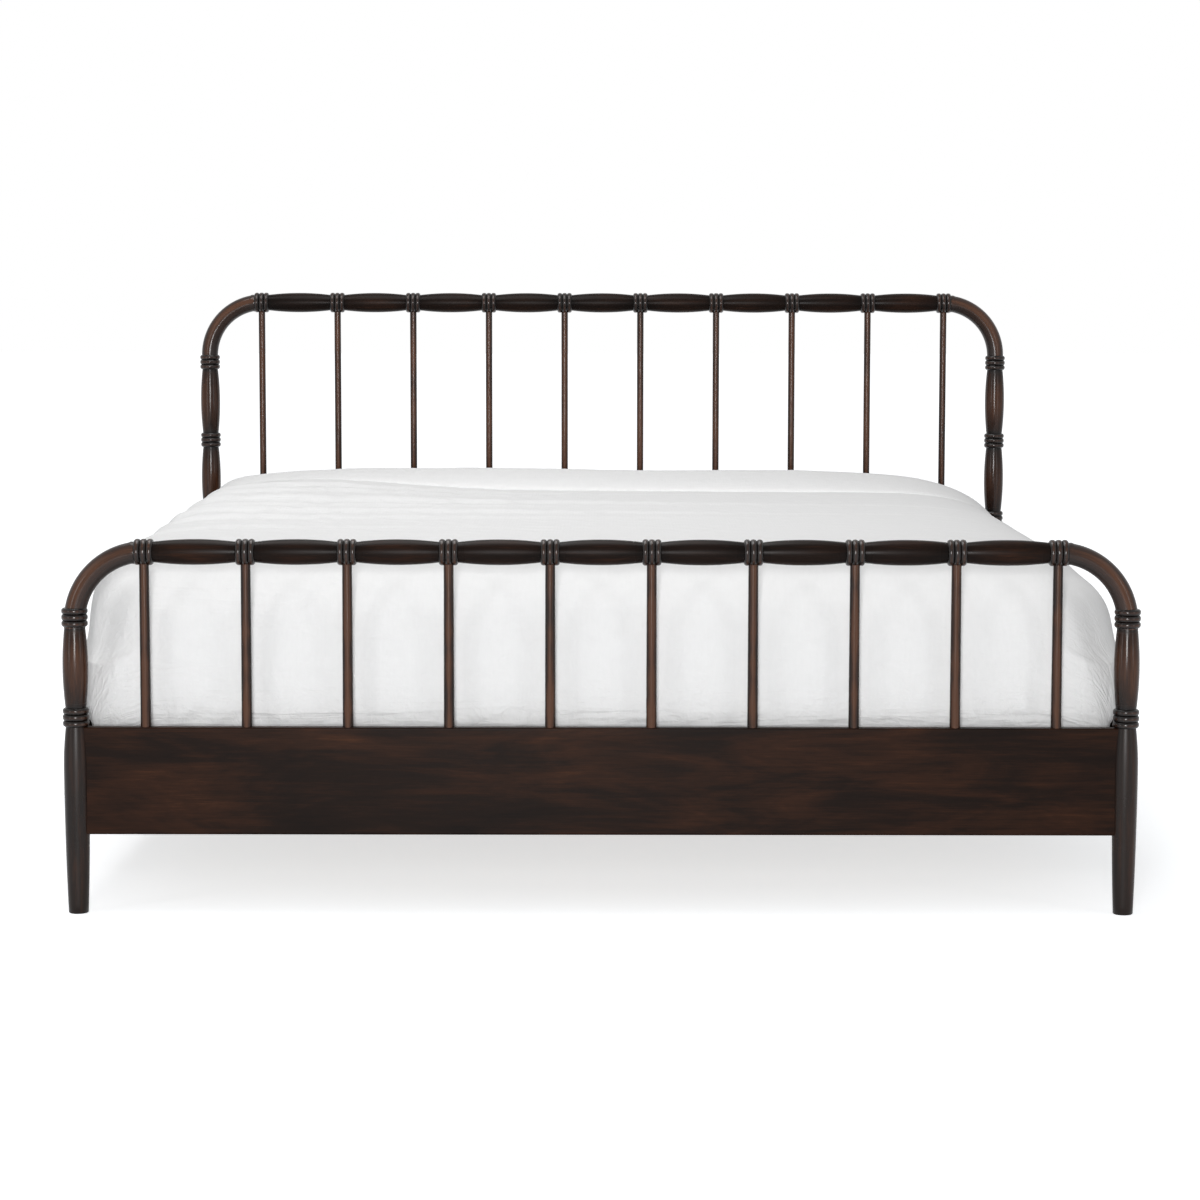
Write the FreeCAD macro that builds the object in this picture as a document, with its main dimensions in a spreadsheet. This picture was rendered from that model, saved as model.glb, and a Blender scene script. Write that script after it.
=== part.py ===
"""King-size spindle bed: turned posts and rails, bent elbows, spindles, slats, mattress and duvet.

The origin is on the floor under the middle of the bed. X runs across, Y from foot to head, Z up.
"""
import FreeCAD, Part
import math
import operator
import os
import types

import Sketcher
from FreeCAD import Placement, Rotation, Vector

# Driving sizes in millimetres, with counts and shares
DRIVING = {
    # Mattress, and the room around it that sets the plan of the bed
    "mattress_width": 1930.0,
    "mattress_length": 2030.0,
    "mattress_height": 305.0,
    "mattress_side_gap": 40.0,  # side rail to mattress
    "mattress_foot_gap": 40.0,  # footboard panel to mattress
    "mattress_head_gap": 35.0,  # headboard panel to mattress
    "mattress_corner": 90.0,
    "mattress_edge": 14.0,  # rounding of the taped edges
    "mattress_draw": 8.0,  # how far the border is drawn in between the tapes
    "mattress_crown": 12.0,
    "mattress_crown_inset": 420.0,
    # Rows of spindles
    "spindle_count": 10,
    "elbow_radius": 135.5,  # bend of the elbow's centre line, and first spindle to post axis
    # Turned profile of posts and top rails
    "neck_radius": 20.0,
    "swell_radius": 24.8,
    "bead_radius": 25.6,
    "groove_radius": 22.0,
    "bead_pitch": 12.4,
    "beads_in_group": 3,
    "bead_flank_share": 0.25,  # of the bead pitch
    "elbow_section_radius": 20.8,
    # Heights of the two boards
    "foot_rail_height": 705.3,  # floor to the axis of the footboard's top rail
    "head_rail_height": 1180.6,
    "foot_elbow_trim": 27.5,  # how far the post's beads stand up past the end of the bend
    "head_elbow_trim": 0.5,
    "foot_bead_group_count": 2,
    "head_bead_group_count": 4,
    # Legs of the posts
    "sole_radius": 19.3,
    "leg_swell_height": 285.0,
    # Panels and side rails
    "panel_thickness": 25.0,
    "panel_bottom": 155.5,
    "foot_panel_top": 365.5,
    "head_panel_top": 404.0,
    "panel_socket_floor": 10.0,  # post axis to the floor of the panel's socket
    "side_rail_thickness": 25.0,
    "rail_housing_floor": 16.0,  # post axis to the flat that the side rail draws up to
    "board_rounding": 4.0,
    # Spindles
    "foot_spindle_radius": 9.9,
    "head_spindle_radius": 8.5,
    "spindle_hole_floor": 6.0,  # rail axis to the floor of the spindle's hole
    "spindle_socket_depth": 25.0,
    # Elbow dowels
    "dowel_radius": 6.0,
    "dowel_length": 44.0,
    # Hook plates on the side rails and slotted plates in the posts
    "plate_width": 18.0,
    "plate_height": 130.0,
    "plate_thickness": 2.5,
    "hook_thickness": 3.0,
    "hook_reach": 9.0,
    "hook_height": 20.0,
    "hook_drop": 10.0,
    "hook_spacing": 66.0,
    "hook_slot_play": 0.4,
    # Slats, cleats and the centre beam
    "slat_top": 295.0,
    "slat_count": 12,
    "slat_width": 90.0,
    "slat_thickness": 18.0,
    "slat_end_margin": 30.0,
    "slat_side_gap": 4.0,
    "cleat_width": 30.0,
    "cleat_height": 40.0,
    "cleat_setback": 20.0,
    "beam_width": 45.0,
    "beam_height": 90.0,
    "hanger_thickness": 3.0,
    "hanger_depth": 50.0,
    # Centre leg and its levelling foot
    "centre_leg_share": 0.45,  # of the bed's length, from the foot
    "centre_leg_width": 80.0,
    "centre_leg_depth": 85.0,
    "leg_dowel_spacing": 40.0,
    "insert_radius": 9.0,
    "insert_length": 25.0,
    "thread_radius": 5.0,
    "stem_length": 40.0,
    "leveller_pad_radius": 18.0,
    "leveller_pad_height": 6.0,
    "leveller_stand": 12.0,  # pad to leg at rest
    "leveller_travel": 10.0,
    # Duvet
    "duvet_drop_thickness": 55.0,  # of the drops at the sides, where they are widest
    "duvet_loft": 112.0,  # over the mattress
    "duvet_hem_height": 7.0,  # over the slats
    "duvet_foot_gap": 16.0,  # footboard panel to duvet
    "duvet_head_gap": 8.0,  # how far the duvet stops short of the mattress's head end
    "duvet_corner": 100.0,
    "duvet_head_corner": 16.0,
    "duvet_side_tuck": 40.0,  # how far the hem draws in
    "duvet_foot_tuck": 20.0,
    "duvet_rail_clear": 2.5,  # side rail to duvet, across and up
    "duvet_rail_roll": 26.0,  # over the side rail, to where the duvet stands out past it
    "duvet_roll_inset": 3.0,
    "duvet_foot_shoulder": 500.0,  # from the drop to the flat of the top
    "duvet_left_shoulder": 170.0,
    "duvet_right_shoulder": 440.0,
    "fold_depth": 245.0,
    "fold_rise": 36.0,
    "fold_lip": 45.0,
    "fold_sink": 40.0,
    "fold_crown": 8.0,
    "fold_bulge": 10.0,
    "fold_side_inset": 150.0,  # from the drop to where the fold starts to run out
    "fold_run_out": 95.0,
    "fold_end_drop": 100.0,
    # Clearances
    "glue_gap": 0.1,
    "end_gap": 0.3,
    "thread_gap": 0.06,
    "soft_gap": 0.5,
    "overrun": 5.0,  # how far a cut runs past what it cuts
}

# Duvet outline above its drop: share of the height, share of the shoulder's inset
SHOULDER_SHARES = (
    (0.41, 0.0), (0.537, 0.0), (0.738, 0.036), (0.858, 0.125), (0.935, 0.268), (0.981, 0.482), (1.0, 1.0),
)

# Places of a pair of pieces about their middle, as shares of their spacing
PAIR_SHARES = (-0.5, 0.5)

# Turns in degrees
QUARTER_TURN = 90
HALF_TURN = 180
FULL_TURN = 360

OPERATIONS = {"+": operator.add, "-": operator.sub, "*": operator.mul, "/": operator.truediv}


class Size:
    """A length from the sheet, or worked out from such lengths, held as a number and as a formula."""

    def __init__(self, number, formula):
        self.number = number
        self.formula = formula

    def __add__(self, other):
        return joined(self, "+", other)

    def __radd__(self, other):
        return joined(other, "+", self)

    def __sub__(self, other):
        return joined(self, "-", other)

    def __rsub__(self, other):
        return joined(other, "-", self)

    def __mul__(self, other):
        return joined(self, "*", other)

    def __rmul__(self, other):
        return joined(other, "*", self)

    def __truediv__(self, other):
        return joined(self, "/", other)

    def __neg__(self):
        return joined(0, "-", self)


def sized(value):
    """The value as a Size, so that a plain count or zero can stand beside one."""
    return value if isinstance(value, Size) else Size(value, str(value))


def joined(left, sign, right):
    """Two sizes joined by an arithmetic sign."""
    left, right = sized(left), sized(right)
    return Size(OPERATIONS[sign](left.number, right.number), f"({left.formula} {sign} {right.formula})")


doc = FreeCAD.newDocument("SpindleBed")
sheet = doc.addObject("Spreadsheet::Sheet", "Sizes")
for row, (alias, value) in enumerate(DRIVING.items(), 1):
    sheet.set(f"A{row}", str(value))
    sheet.setAlias(f"A{row}", alias)
doc.recompute()
dim = types.SimpleNamespace(**{name: Size(sheet.get(name), f"Sizes.{name}") for name in DRIVING})

NODES = []

# Sizes that several pieces share
rail_face = dim.mattress_width / 2 + dim.mattress_side_gap
half_span = rail_face + dim.side_rail_thickness / 2
panel_face = (dim.mattress_foot_gap + dim.mattress_length + dim.mattress_head_gap) / 2
half_length = panel_face + dim.panel_thickness / 2
bed_length = half_length * 2
spindle_pitch = (half_span - dim.elbow_radius) * 2 / (dim.spindle_count - 1)
group_length = dim.bead_pitch * dim.beads_in_group
rail_length = spindle_pitch * (dim.spindle_count - 1) + group_length
rail_middle = (dim.panel_bottom + dim.foot_panel_top) / 2
slat_bottom = dim.slat_top - dim.slat_thickness
beam_bottom = slat_bottom - dim.beam_height
leg_bottom = dim.leveller_pad_height + dim.leveller_stand
leg_middle = bed_length * dim.centre_leg_share - half_length
mattress_foot = dim.mattress_foot_gap - panel_face
mattress_head = mattress_foot + dim.mattress_length
duvet_half_width = dim.mattress_width / 2 + dim.duvet_drop_thickness
duvet_bottom = dim.slat_top + dim.duvet_hem_height
duvet_top = dim.slat_top + dim.mattress_height + dim.duvet_loft


def bind(thing, **formulas):
    """Ties properties of an object to formulas on the sheet."""
    for name, size in formulas.items():
        thing.setExpression(name, sized(size).formula)


def place(thing, x, y, z, turn=Rotation()):
    """Puts an object at a place that follows the sheet."""
    spot = [sized(value) for value in (x, y, z)]
    thing.Placement = Placement(Vector(*[size.number for size in spot]), turn)
    for axis, size in zip("xyz", spot):
        thing.setExpression(f"Placement.Base.{axis}", size.formula)
    return thing


def node(thing, label):
    """Names an object as a sub-part of the bed."""
    thing.Label = label
    NODES.append(thing)
    return thing


def block(name, x, y, z):
    """A box between two sizes along each axis."""
    spans = [sorted((sized(a), sized(b)), key=lambda size: size.number) for a, b in (x, y, z)]
    box = doc.addObject("Part::Box", name)
    length, width, height = [high - low for low, high in spans]
    bind(box, Length=length, Width=width, Height=height)
    return place(box, *[low for low, high in spans])


def rod(name, radius, length, x, y, z, turn=Rotation()):
    """A round bar that starts at a place and runs along its turned Z axis."""
    bar = doc.addObject("Part::Cylinder", name)
    bind(bar, Radius=radius, Height=length)
    return place(bar, x, y, z, turn)


def fused(name, pieces):
    whole = doc.addObject("Part::MultiFuse", name)
    whole.Shapes = pieces
    return whole


def cut(name, base, tools):
    """A piece less one tool, or less several joined tools."""
    rest = doc.addObject("Part::Cut", name)
    rest.Base = base
    rest.Tool = tools[0] if len(tools) == 1 else fused(name + "_tools", tools)
    return rest


def group(name, pieces):
    """Identical loose pieces that share one node."""
    bunch = doc.addObject("Part::Compound", name)
    bunch.Links = pieces
    return node(bunch, name)


def root(size):
    """Square root of a size."""
    return Size(math.sqrt(size.number), f"sqrt({size.formula})")


def arc_radius(half_chord, rise):
    """Radius of the arc that rises by a given height over a chord."""
    return (half_chord * half_chord + rise * rise) / (rise * 2)


def outward_arc(start, end, radius):
    """Arc from start to end that bulges to the right of that direction, which runs anticlockwise."""
    chord = end - start
    left = Vector(-chord.y, chord.x, 0).normalize()
    middle = start + chord / 2
    centre = middle + left * math.sqrt(max(radius ** 2 - (chord.Length / 2) ** 2, 0))
    first = math.atan2(start.y - centre.y, start.x - centre.x)
    last = math.atan2(end.y - centre.y, end.x - centre.x)
    if last < first:
        last += 2 * math.pi
    return Part.ArcOfCircle(Part.Circle(centre, Vector(0, 0, 1), radius), first, last)


def fix_point(ties, edge, end, x, y):
    """Holds an edge's point at its distances from the sketch's two axes."""
    for kind, axis, size in (("DistanceX", -2, sized(x)), ("DistanceY", -1, sized(y))):
        if size.number == 0:
            ties.append((Sketcher.Constraint("PointOnObject", edge, end, axis), None))
        else:
            ties.append((Sketcher.Constraint(kind, -1, 1, edge, end, size.number), size.formula))


def tie(sketch, ties):
    """Adds constraints to a sketch and binds those that have a formula."""
    numbers = sketch.addConstraint([constraint for constraint, _ in ties])
    for number, (_, formula) in zip(numbers, ties):
        if formula:
            sketch.setExpression(f"Constraints[{number}]", formula)


def draw_outline(sketch, corners, arcs):
    """Closed anticlockwise chain through the corners, with arcs that bulge outwards on some edges."""
    points = [Vector(sized(x).number, sized(y).number, 0) for x, y in corners]
    following = points[1:] + points[:1]
    first = sketch.GeometryCount
    for step, (start, end) in enumerate(zip(points, following)):
        edge = outward_arc(start, end, arcs[step].number) if step in arcs else Part.LineSegment(start, end)
        sketch.addGeometry(edge, False)
    ties = []
    for step, (x, y) in enumerate(corners):
        after = first + (step + 1) % len(corners)
        ties.append((Sketcher.Constraint("Coincident", first + step, 2, after, 1), None))
        fix_point(ties, first + step, 1, x, y)
        if step in arcs:
            ties.append((Sketcher.Constraint("Radius", first + step, arcs[step].number), arcs[step].formula))
    tie(sketch, ties)


def draw_rectangle(sketch, x, y):
    """Rectangle between two sizes along each of the sketch's axes."""
    (left, right), (low, high) = x, y
    draw_outline(sketch, [(left, low), (right, low), (right, high), (left, high)], {})


def draw_rounded(sketch, x, y, low_corner, high_corner):
    """Rectangle with rounded corners, of one radius at its low side and one at its high side."""
    (left, right), (low, high) = x, y
    corners = [
        (left + low_corner, low), (right - low_corner, low),
        (right, low + low_corner), (right, high - high_corner),
        (right - high_corner, high), (left + high_corner, high),
        (left, high - high_corner), (left, low + low_corner),
    ]
    draw_outline(sketch, corners, {1: low_corner, 3: high_corner, 5: high_corner, 7: low_corner})


def draw_circle(sketch, x, y, radius):
    circle = Part.Circle(Vector(sized(x).number, sized(y).number, 0), Vector(0, 0, 1), radius.number)
    number = sketch.addGeometry(circle, False)
    ties = [(Sketcher.Constraint("Radius", number, radius.number), radius.formula)]
    fix_point(ties, number, 3, x, y)
    tie(sketch, ties)


def origin_part(body, role):
    return next(item for item in body.Origin.OriginFeatures if item.Role == role)


def sketch_on(body, name, plane, offset=0):
    """Empty sketch on one of the body's own planes, moved along that plane's normal."""
    sketch = body.newObject("Sketcher::SketchObject", name)
    sketch.AttachmentSupport = [(origin_part(body, plane), "")]
    sketch.MapMode = "FlatFace"
    sketch.setExpression("AttachmentOffset.Base.z", sized(offset).formula)
    return sketch


def revolved(body, name, sketch):
    turning = body.newObject("PartDesign::Revolution", name)
    turning.Profile = sketch
    turning.ReferenceAxis = (sketch, ["V_Axis"])
    turning.Angle = FULL_TURN
    return turning


def repeated(body, name, feature, axis, pitch, copies):
    """Straight row of a feature along one of the body's axes."""
    row_of = body.newObject("PartDesign::LinearPattern", name)
    row_of.Originals = [feature]
    row_of.Direction = (origin_part(body, axis), [""])
    bind(row_of, Length=pitch * (copies - 1), Occurrences=copies)
    body.Tip = row_of
    return row_of


def pocket(body, name, sketch, reverse, depth=None):
    """Cuts a sketch out of the body, right through or to a depth, and makes sure that it took something."""
    hole = body.newObject("PartDesign::Pocket", name)
    hole.Profile = sketch
    hole.Reversed = reverse
    hole.Type = "ThroughAll" if depth is None else "Length"
    if depth is not None:
        bind(hole, Length=depth)
    doc.recompute()
    if not hole.Shape.Volume < hole.BaseFeature.Shape.Volume:
        raise RuntimeError(f"{body.Label}: {name} cuts nothing")
    return hole


def draw_beads(sketch, start, swell_end=None):
    """Half section of a bead group from its lower end, with the swell that follows it up to swell_end."""
    flank = dim.bead_pitch * dim.bead_flank_share
    corners, arcs = [(0, start)], {}
    for bead in range(int(dim.beads_in_group.number)):
        low = start + dim.bead_pitch * bead
        corners.append((dim.groove_radius if bead else dim.neck_radius, low))
        corners.append((dim.bead_radius, low + flank))
        corners.append((dim.bead_radius, low + dim.bead_pitch - flank))
    end = start + group_length
    corners.append((dim.neck_radius, end))
    if swell_end is not None:
        arcs[len(corners) - 1] = arc_radius((swell_end - end) / 2, dim.swell_radius - dim.neck_radius)
        corners.append((dim.neck_radius, swell_end))
        end = swell_end
    corners.append((0, end))
    draw_outline(sketch, corners, arcs)


def about_z(across):
    """Half turn for what stands on the right, none for the left."""
    return Rotation(Vector(0, 0, 1), HALF_TURN if across > 0 else 0)


def make_post(label, across, along, rail_height, elbow_trim, bead_groups, panel_top):
    """Turned post with its leg, the socket for the panel and the housing for the side rail.

    across is -1 for the left post and 1 for the right one, along is -1 at the foot and 1 at the head.
    The socket faces the body's own +X, so a right post stands turned half round.
    """
    body = node(doc.addObject("PartDesign::Body", label), label)
    top = rail_height - dim.elbow_radius + elbow_trim
    last_group = top - group_length
    pitch = (last_group - panel_top) / (bead_groups - 1)

    leg = sketch_on(body, label + "_leg_outline", "XZ_Plane")
    draw_outline(
        leg,
        [(0, 0), (dim.sole_radius, 0), (dim.swell_radius, dim.leg_swell_height),
         (dim.neck_radius, panel_top), (0, panel_top)],
        {1: arc_radius(dim.leg_swell_height, dim.swell_radius - dim.sole_radius),
         2: arc_radius(panel_top - dim.leg_swell_height, dim.swell_radius - dim.neck_radius)},
    )
    revolved(body, label + "_leg", leg)
    turning = sketch_on(body, label + "_turning_outline", "XZ_Plane")
    draw_beads(turning, panel_top, panel_top + pitch)
    turned = revolved(body, label + "_turning", turning)
    repeated(body, label + "_turnings", turned, "Z_Axis", pitch, bead_groups - 1)
    crown = sketch_on(body, label + "_top_outline", "XZ_Plane")
    draw_beads(crown, last_group)
    revolved(body, label + "_top", crown)

    dowel_hole = sketch_on(body, label + "_dowel_outline", "XY_Plane", top)
    draw_circle(dowel_hole, 0, 0, dim.dowel_radius + dim.glue_gap)
    pocket(body, label + "_dowel_hole", dowel_hole, False, dim.dowel_length / 2 + dim.end_gap)

    socket = sketch_on(body, label + "_socket_outline", "YZ_Plane", dim.panel_socket_floor)
    half = dim.panel_thickness / 2 + dim.glue_gap
    draw_rectangle(socket, (-half, half), (dim.panel_bottom - dim.glue_gap, panel_top + dim.glue_gap))
    pocket(body, label + "_socket", socket, True)

    steps = (
        ("housing", dim.rail_housing_floor, dim.side_rail_thickness / 2 + dim.glue_gap,
         (dim.foot_panel_top - dim.panel_bottom) / 2 + dim.glue_gap),
        ("recess", dim.rail_housing_floor - dim.plate_thickness, dim.plate_width / 2 + dim.glue_gap,
         dim.plate_height / 2 + dim.glue_gap),
        ("hook_pocket", dim.rail_housing_floor - dim.hook_reach - dim.end_gap,
         dim.hook_thickness / 2 + dim.hook_slot_play,
         dim.hook_spacing / 2 + dim.hook_height + dim.hook_drop + dim.overrun),
    )
    facing = across * along
    for name, floor, half_width, half_height in steps:
        recess = sketch_on(body, f"{label}_{name}_outline", "XZ_Plane", floor * -facing)
        span = (rail_middle - half_height, rail_middle + half_height)
        draw_rectangle(recess, (-half_width, half_width), span)
        pocket(body, f"{label}_{name}", recess, facing < 0)
    place(body, half_span * across, half_length * along, 0, about_z(across))


def make_top_rail(label, along, height, spindle_radius):
    """Turned rail on its side, with a bead group over each spindle and a swell between groups."""
    body = node(doc.addObject("PartDesign::Body", label), label)
    spaces = dim.spindle_count - 1
    turning = sketch_on(body, label + "_turning_outline", "XZ_Plane")
    draw_beads(turning, sized(0), spindle_pitch)
    turned = revolved(body, label + "_turning", turning)
    repeated(body, label + "_turnings", turned, "Z_Axis", spindle_pitch, spaces)
    last = sketch_on(body, label + "_end_outline", "XZ_Plane")
    draw_beads(last, spindle_pitch * spaces)
    revolved(body, label + "_end", last)

    for name, end, reverse in (("left", 0, True), ("right", rail_length, False)):
        dowel_hole = sketch_on(body, f"{label}_{name}_dowel_outline", "XY_Plane", end)
        draw_circle(dowel_hole, 0, 0, dim.dowel_radius + dim.glue_gap)
        pocket(body, f"{label}_{name}_dowel_hole", dowel_hole, reverse, dim.dowel_length / 2 + dim.end_gap)
    hole = sketch_on(body, label + "_hole_outline", "YZ_Plane", dim.spindle_hole_floor)
    draw_circle(hole, 0, group_length / 2, spindle_radius + dim.glue_gap)
    drilled = pocket(body, label + "_hole", hole, True)
    repeated(body, label + "_holes", drilled, "Z_Axis", spindle_pitch, dim.spindle_count)
    place(body, -rail_length / 2, half_length * along, height, Rotation(Vector(0, 1, 0), QUARTER_TURN))


def make_elbow(label, across, along, rail_height, elbow_trim):
    """Quarter bend from post to top rail, cut square where it meets their beads and bored for dowels."""
    bend = doc.addObject("Part::Torus", label + "_bend")
    bind(bend, Radius1=dim.elbow_radius, Radius2=dim.elbow_section_radius)
    bend.Angle3 = QUARTER_TURN
    upright = about_z(-across).multiply(Rotation(Vector(1, 0, 0), QUARTER_TURN))
    bend_height = rail_height - dim.elbow_radius
    place(bend, (half_span - dim.elbow_radius) * across, half_length * along, bend_height, upright)
    reach = dim.elbow_section_radius + dim.overrun
    rail_end = rail_length / 2
    post_top = bend_height + elbow_trim
    kept = block(
        label + "_kept",
        (rail_end * across, (half_span + reach) * across),
        (half_length * along - reach, half_length * along + reach),
        (post_top, rail_height + reach),
    )
    trimmed = doc.addObject("Part::Common", label + "_trimmed")
    trimmed.Base = bend
    trimmed.Tool = kept
    radius = dim.dowel_radius + dim.glue_gap
    depth = dim.dowel_length / 2 + dim.end_gap
    sideways = Rotation(Vector(0, 1, 0), QUARTER_TURN * across)
    bores = [
        rod(label + "_post_bore", radius, depth + dim.overrun, half_span * across, half_length * along,
            post_top - dim.overrun),
        rod(label + "_rail_bore", radius, depth + dim.overrun, (rail_end - dim.overrun) * across,
            half_length * along, rail_height, sideways),
    ]
    node(cut(label, trimmed, bores), label)
    return [
        rod(label + "_post_dowel", dim.dowel_radius, dim.dowel_length,
            half_span * across, half_length * along, post_top - dim.dowel_length / 2),
        rod(label + "_rail_dowel", dim.dowel_radius, dim.dowel_length,
            (rail_end - dim.dowel_length / 2) * across, half_length * along, rail_height, sideways),
    ]


def make_panel(label, along, top, spindle_radius):
    """Wide board between two posts, with rounded edges and a row of spindle holes in its top."""
    body = node(doc.addObject("PartDesign::Body", label), label)
    section = sketch_on(body, label + "_section", "YZ_Plane")
    half = dim.panel_thickness / 2
    draw_rounded(section, (-half, half), (dim.panel_bottom, top), dim.board_rounding, dim.board_rounding)
    board = body.newObject("PartDesign::Pad", label + "_board")
    board.Profile = section
    board.SideType = "Symmetric"
    bind(board, Length=(half_span - dim.panel_socket_floor - dim.end_gap) * 2)
    hole = sketch_on(body, label + "_hole_outline", "XY_Plane", top - dim.spindle_socket_depth)
    draw_circle(hole, -spindle_pitch * (dim.spindle_count - 1) / 2, 0, spindle_radius + dim.glue_gap)
    drilled = pocket(body, label + "_hole", hole, True)
    repeated(body, label + "_holes", drilled, "X_Axis", spindle_pitch, dim.spindle_count)
    place(body, 0, half_length * along, 0)


def make_spindles(board, along, rail_height, panel_top, radius):
    """Slim round rods from the panel's top edge up into the rail's bead groups."""
    low = panel_top - dim.spindle_socket_depth + dim.end_gap
    high = rail_height - dim.spindle_hole_floor - dim.end_gap
    for number in range(int(dim.spindle_count.number)):
        label = f"{board}_spindle_{number + 1:02d}"
        across = spindle_pitch * number - rail_length / 2 + group_length / 2
        node(rod(label, radius, high - low, across, half_length * along, low), label)


def make_side_rail(label, across):
    """Long board between the posts, whose ends carry the hook plates."""
    body = node(doc.addObject("PartDesign::Body", label), label)
    section = sketch_on(body, label + "_section", "XZ_Plane")
    half = dim.side_rail_thickness / 2
    rounding = dim.board_rounding
    draw_rounded(section, (-half, half), (dim.panel_bottom, dim.foot_panel_top), rounding, rounding)
    board = body.newObject("PartDesign::Pad", label + "_board")
    board.Profile = section
    board.SideType = "Symmetric"
    bind(board, Length=(half_length - dim.rail_housing_floor - dim.plate_thickness) * 2)
    place(body, half_span * across, 0, 0)


def make_rail_fastener(across, along):
    """Hook plate on a rail's end and the slotted plate in the post that its two hooks drop behind."""
    corner = ("left" if across < 0 else "right") + ("_foot" if along < 0 else "_head")
    centre = half_span * across

    def depth(near, far):
        """Span along the bed between two distances from the post's axis towards the bed's middle."""
        return (half_length - near) * along, (half_length - far) * along

    floor = dim.rail_housing_floor
    plate_x = (centre - dim.plate_width / 2, centre + dim.plate_width / 2)
    plate_z = (rail_middle - dim.plate_height / 2, rail_middle + dim.plate_height / 2)
    hook_x = (centre - dim.hook_thickness / 2, centre + dim.hook_thickness / 2)
    play = dim.hook_slot_play
    slot_x = (hook_x[0] - play, hook_x[1] + play)
    behind = floor - dim.plate_thickness - dim.end_gap
    tip = floor - dim.hook_reach

    hooks = [block(f"hook_plate_{corner}_plate", plate_x, depth(floor, floor + dim.plate_thickness), plate_z)]
    slots = []
    for place_share in PAIR_SHARES:
        rest = rail_middle + dim.hook_spacing * place_share
        name = f"{corner}_{'lower' if place_share < 0 else 'upper'}"
        hooks.append(block(f"hook_arm_{name}", hook_x, depth(tip, floor), (rest, rest + dim.hook_height)))
        hooks.append(block(f"hook_tongue_{name}", hook_x, depth(tip, behind), (rest - dim.hook_drop, rest)))
        slots.append(block(
            f"hook_slot_{name}", slot_x,
            depth(floor - dim.plate_thickness - dim.overrun, floor + dim.overrun),
            (rest, rest + dim.hook_height + dim.hook_drop + play),
        ))
    slotted = block(f"slot_plate_{corner}_plate", plate_x, depth(floor - dim.plate_thickness, floor), plate_z)
    return fused(f"hook_plate_{corner}", hooks), cut(f"slot_plate_{corner}", slotted, slots)


def make_slat_frame():
    """Cleats on the side rails, slats on the cleats, and the centre beam in its two hangers."""
    cleat_end = half_length - dim.rail_housing_floor - dim.plate_thickness - dim.cleat_setback
    for side, across in (("left", -1), ("right", 1)):
        cleat = block(
            f"slat_cleat_{side}", (rail_face * across, (rail_face - dim.cleat_width) * across),
            (-cleat_end, cleat_end), (slat_bottom - dim.cleat_height, slat_bottom),
        )
        node(cleat, f"slat_cleat_{side}")
    slat_end = rail_face - dim.slat_side_gap
    first = dim.slat_end_margin - panel_face
    pitch = (panel_face * 2 - dim.slat_end_margin * 2 - dim.slat_width) / (dim.slat_count - 1)
    for number in range(int(dim.slat_count.number)):
        start = first + pitch * number
        label = f"slat_{number + 1:02d}"
        across, along = (-slat_end, slat_end), (start, start + dim.slat_width)
        node(block(label, across, along, (slat_bottom, dim.slat_top)), label)
    beam_end = panel_face - dim.hanger_thickness - dim.end_gap
    half = dim.beam_width / 2
    beam = block("beam_bar", (-half, half), (-beam_end, beam_end), (beam_bottom, slat_bottom))
    depth = dim.dowel_length / 2 + dim.end_gap + dim.overrun
    bores = [
        rod(f"beam_leg_bore_{number}", dim.dowel_radius + dim.glue_gap, depth,
            0, leg_middle + dim.leg_dowel_spacing * share, beam_bottom - dim.overrun)
        for number, share in enumerate(PAIR_SHARES)
    ]
    node(cut("centre_beam", beam, bores), "centre_beam")
    for end, along in (("foot", -1), ("head", 1)):
        label = f"beam_hanger_{end}"
        inner = half + dim.end_gap
        outer = inner + dim.hanger_thickness
        shell = block(
            label + "_shell", (-outer, outer), (panel_face * along, (panel_face - dim.hanger_depth) * along),
            (beam_bottom - dim.hanger_thickness, slat_bottom),
        )
        space = block(
            label + "_space", (-inner, inner),
            ((panel_face - dim.hanger_thickness) * along,
             (panel_face - dim.hanger_depth - dim.overrun) * along),
            (beam_bottom, slat_bottom + dim.overrun),
        )
        node(cut(label, shell, [space]), label)


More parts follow.
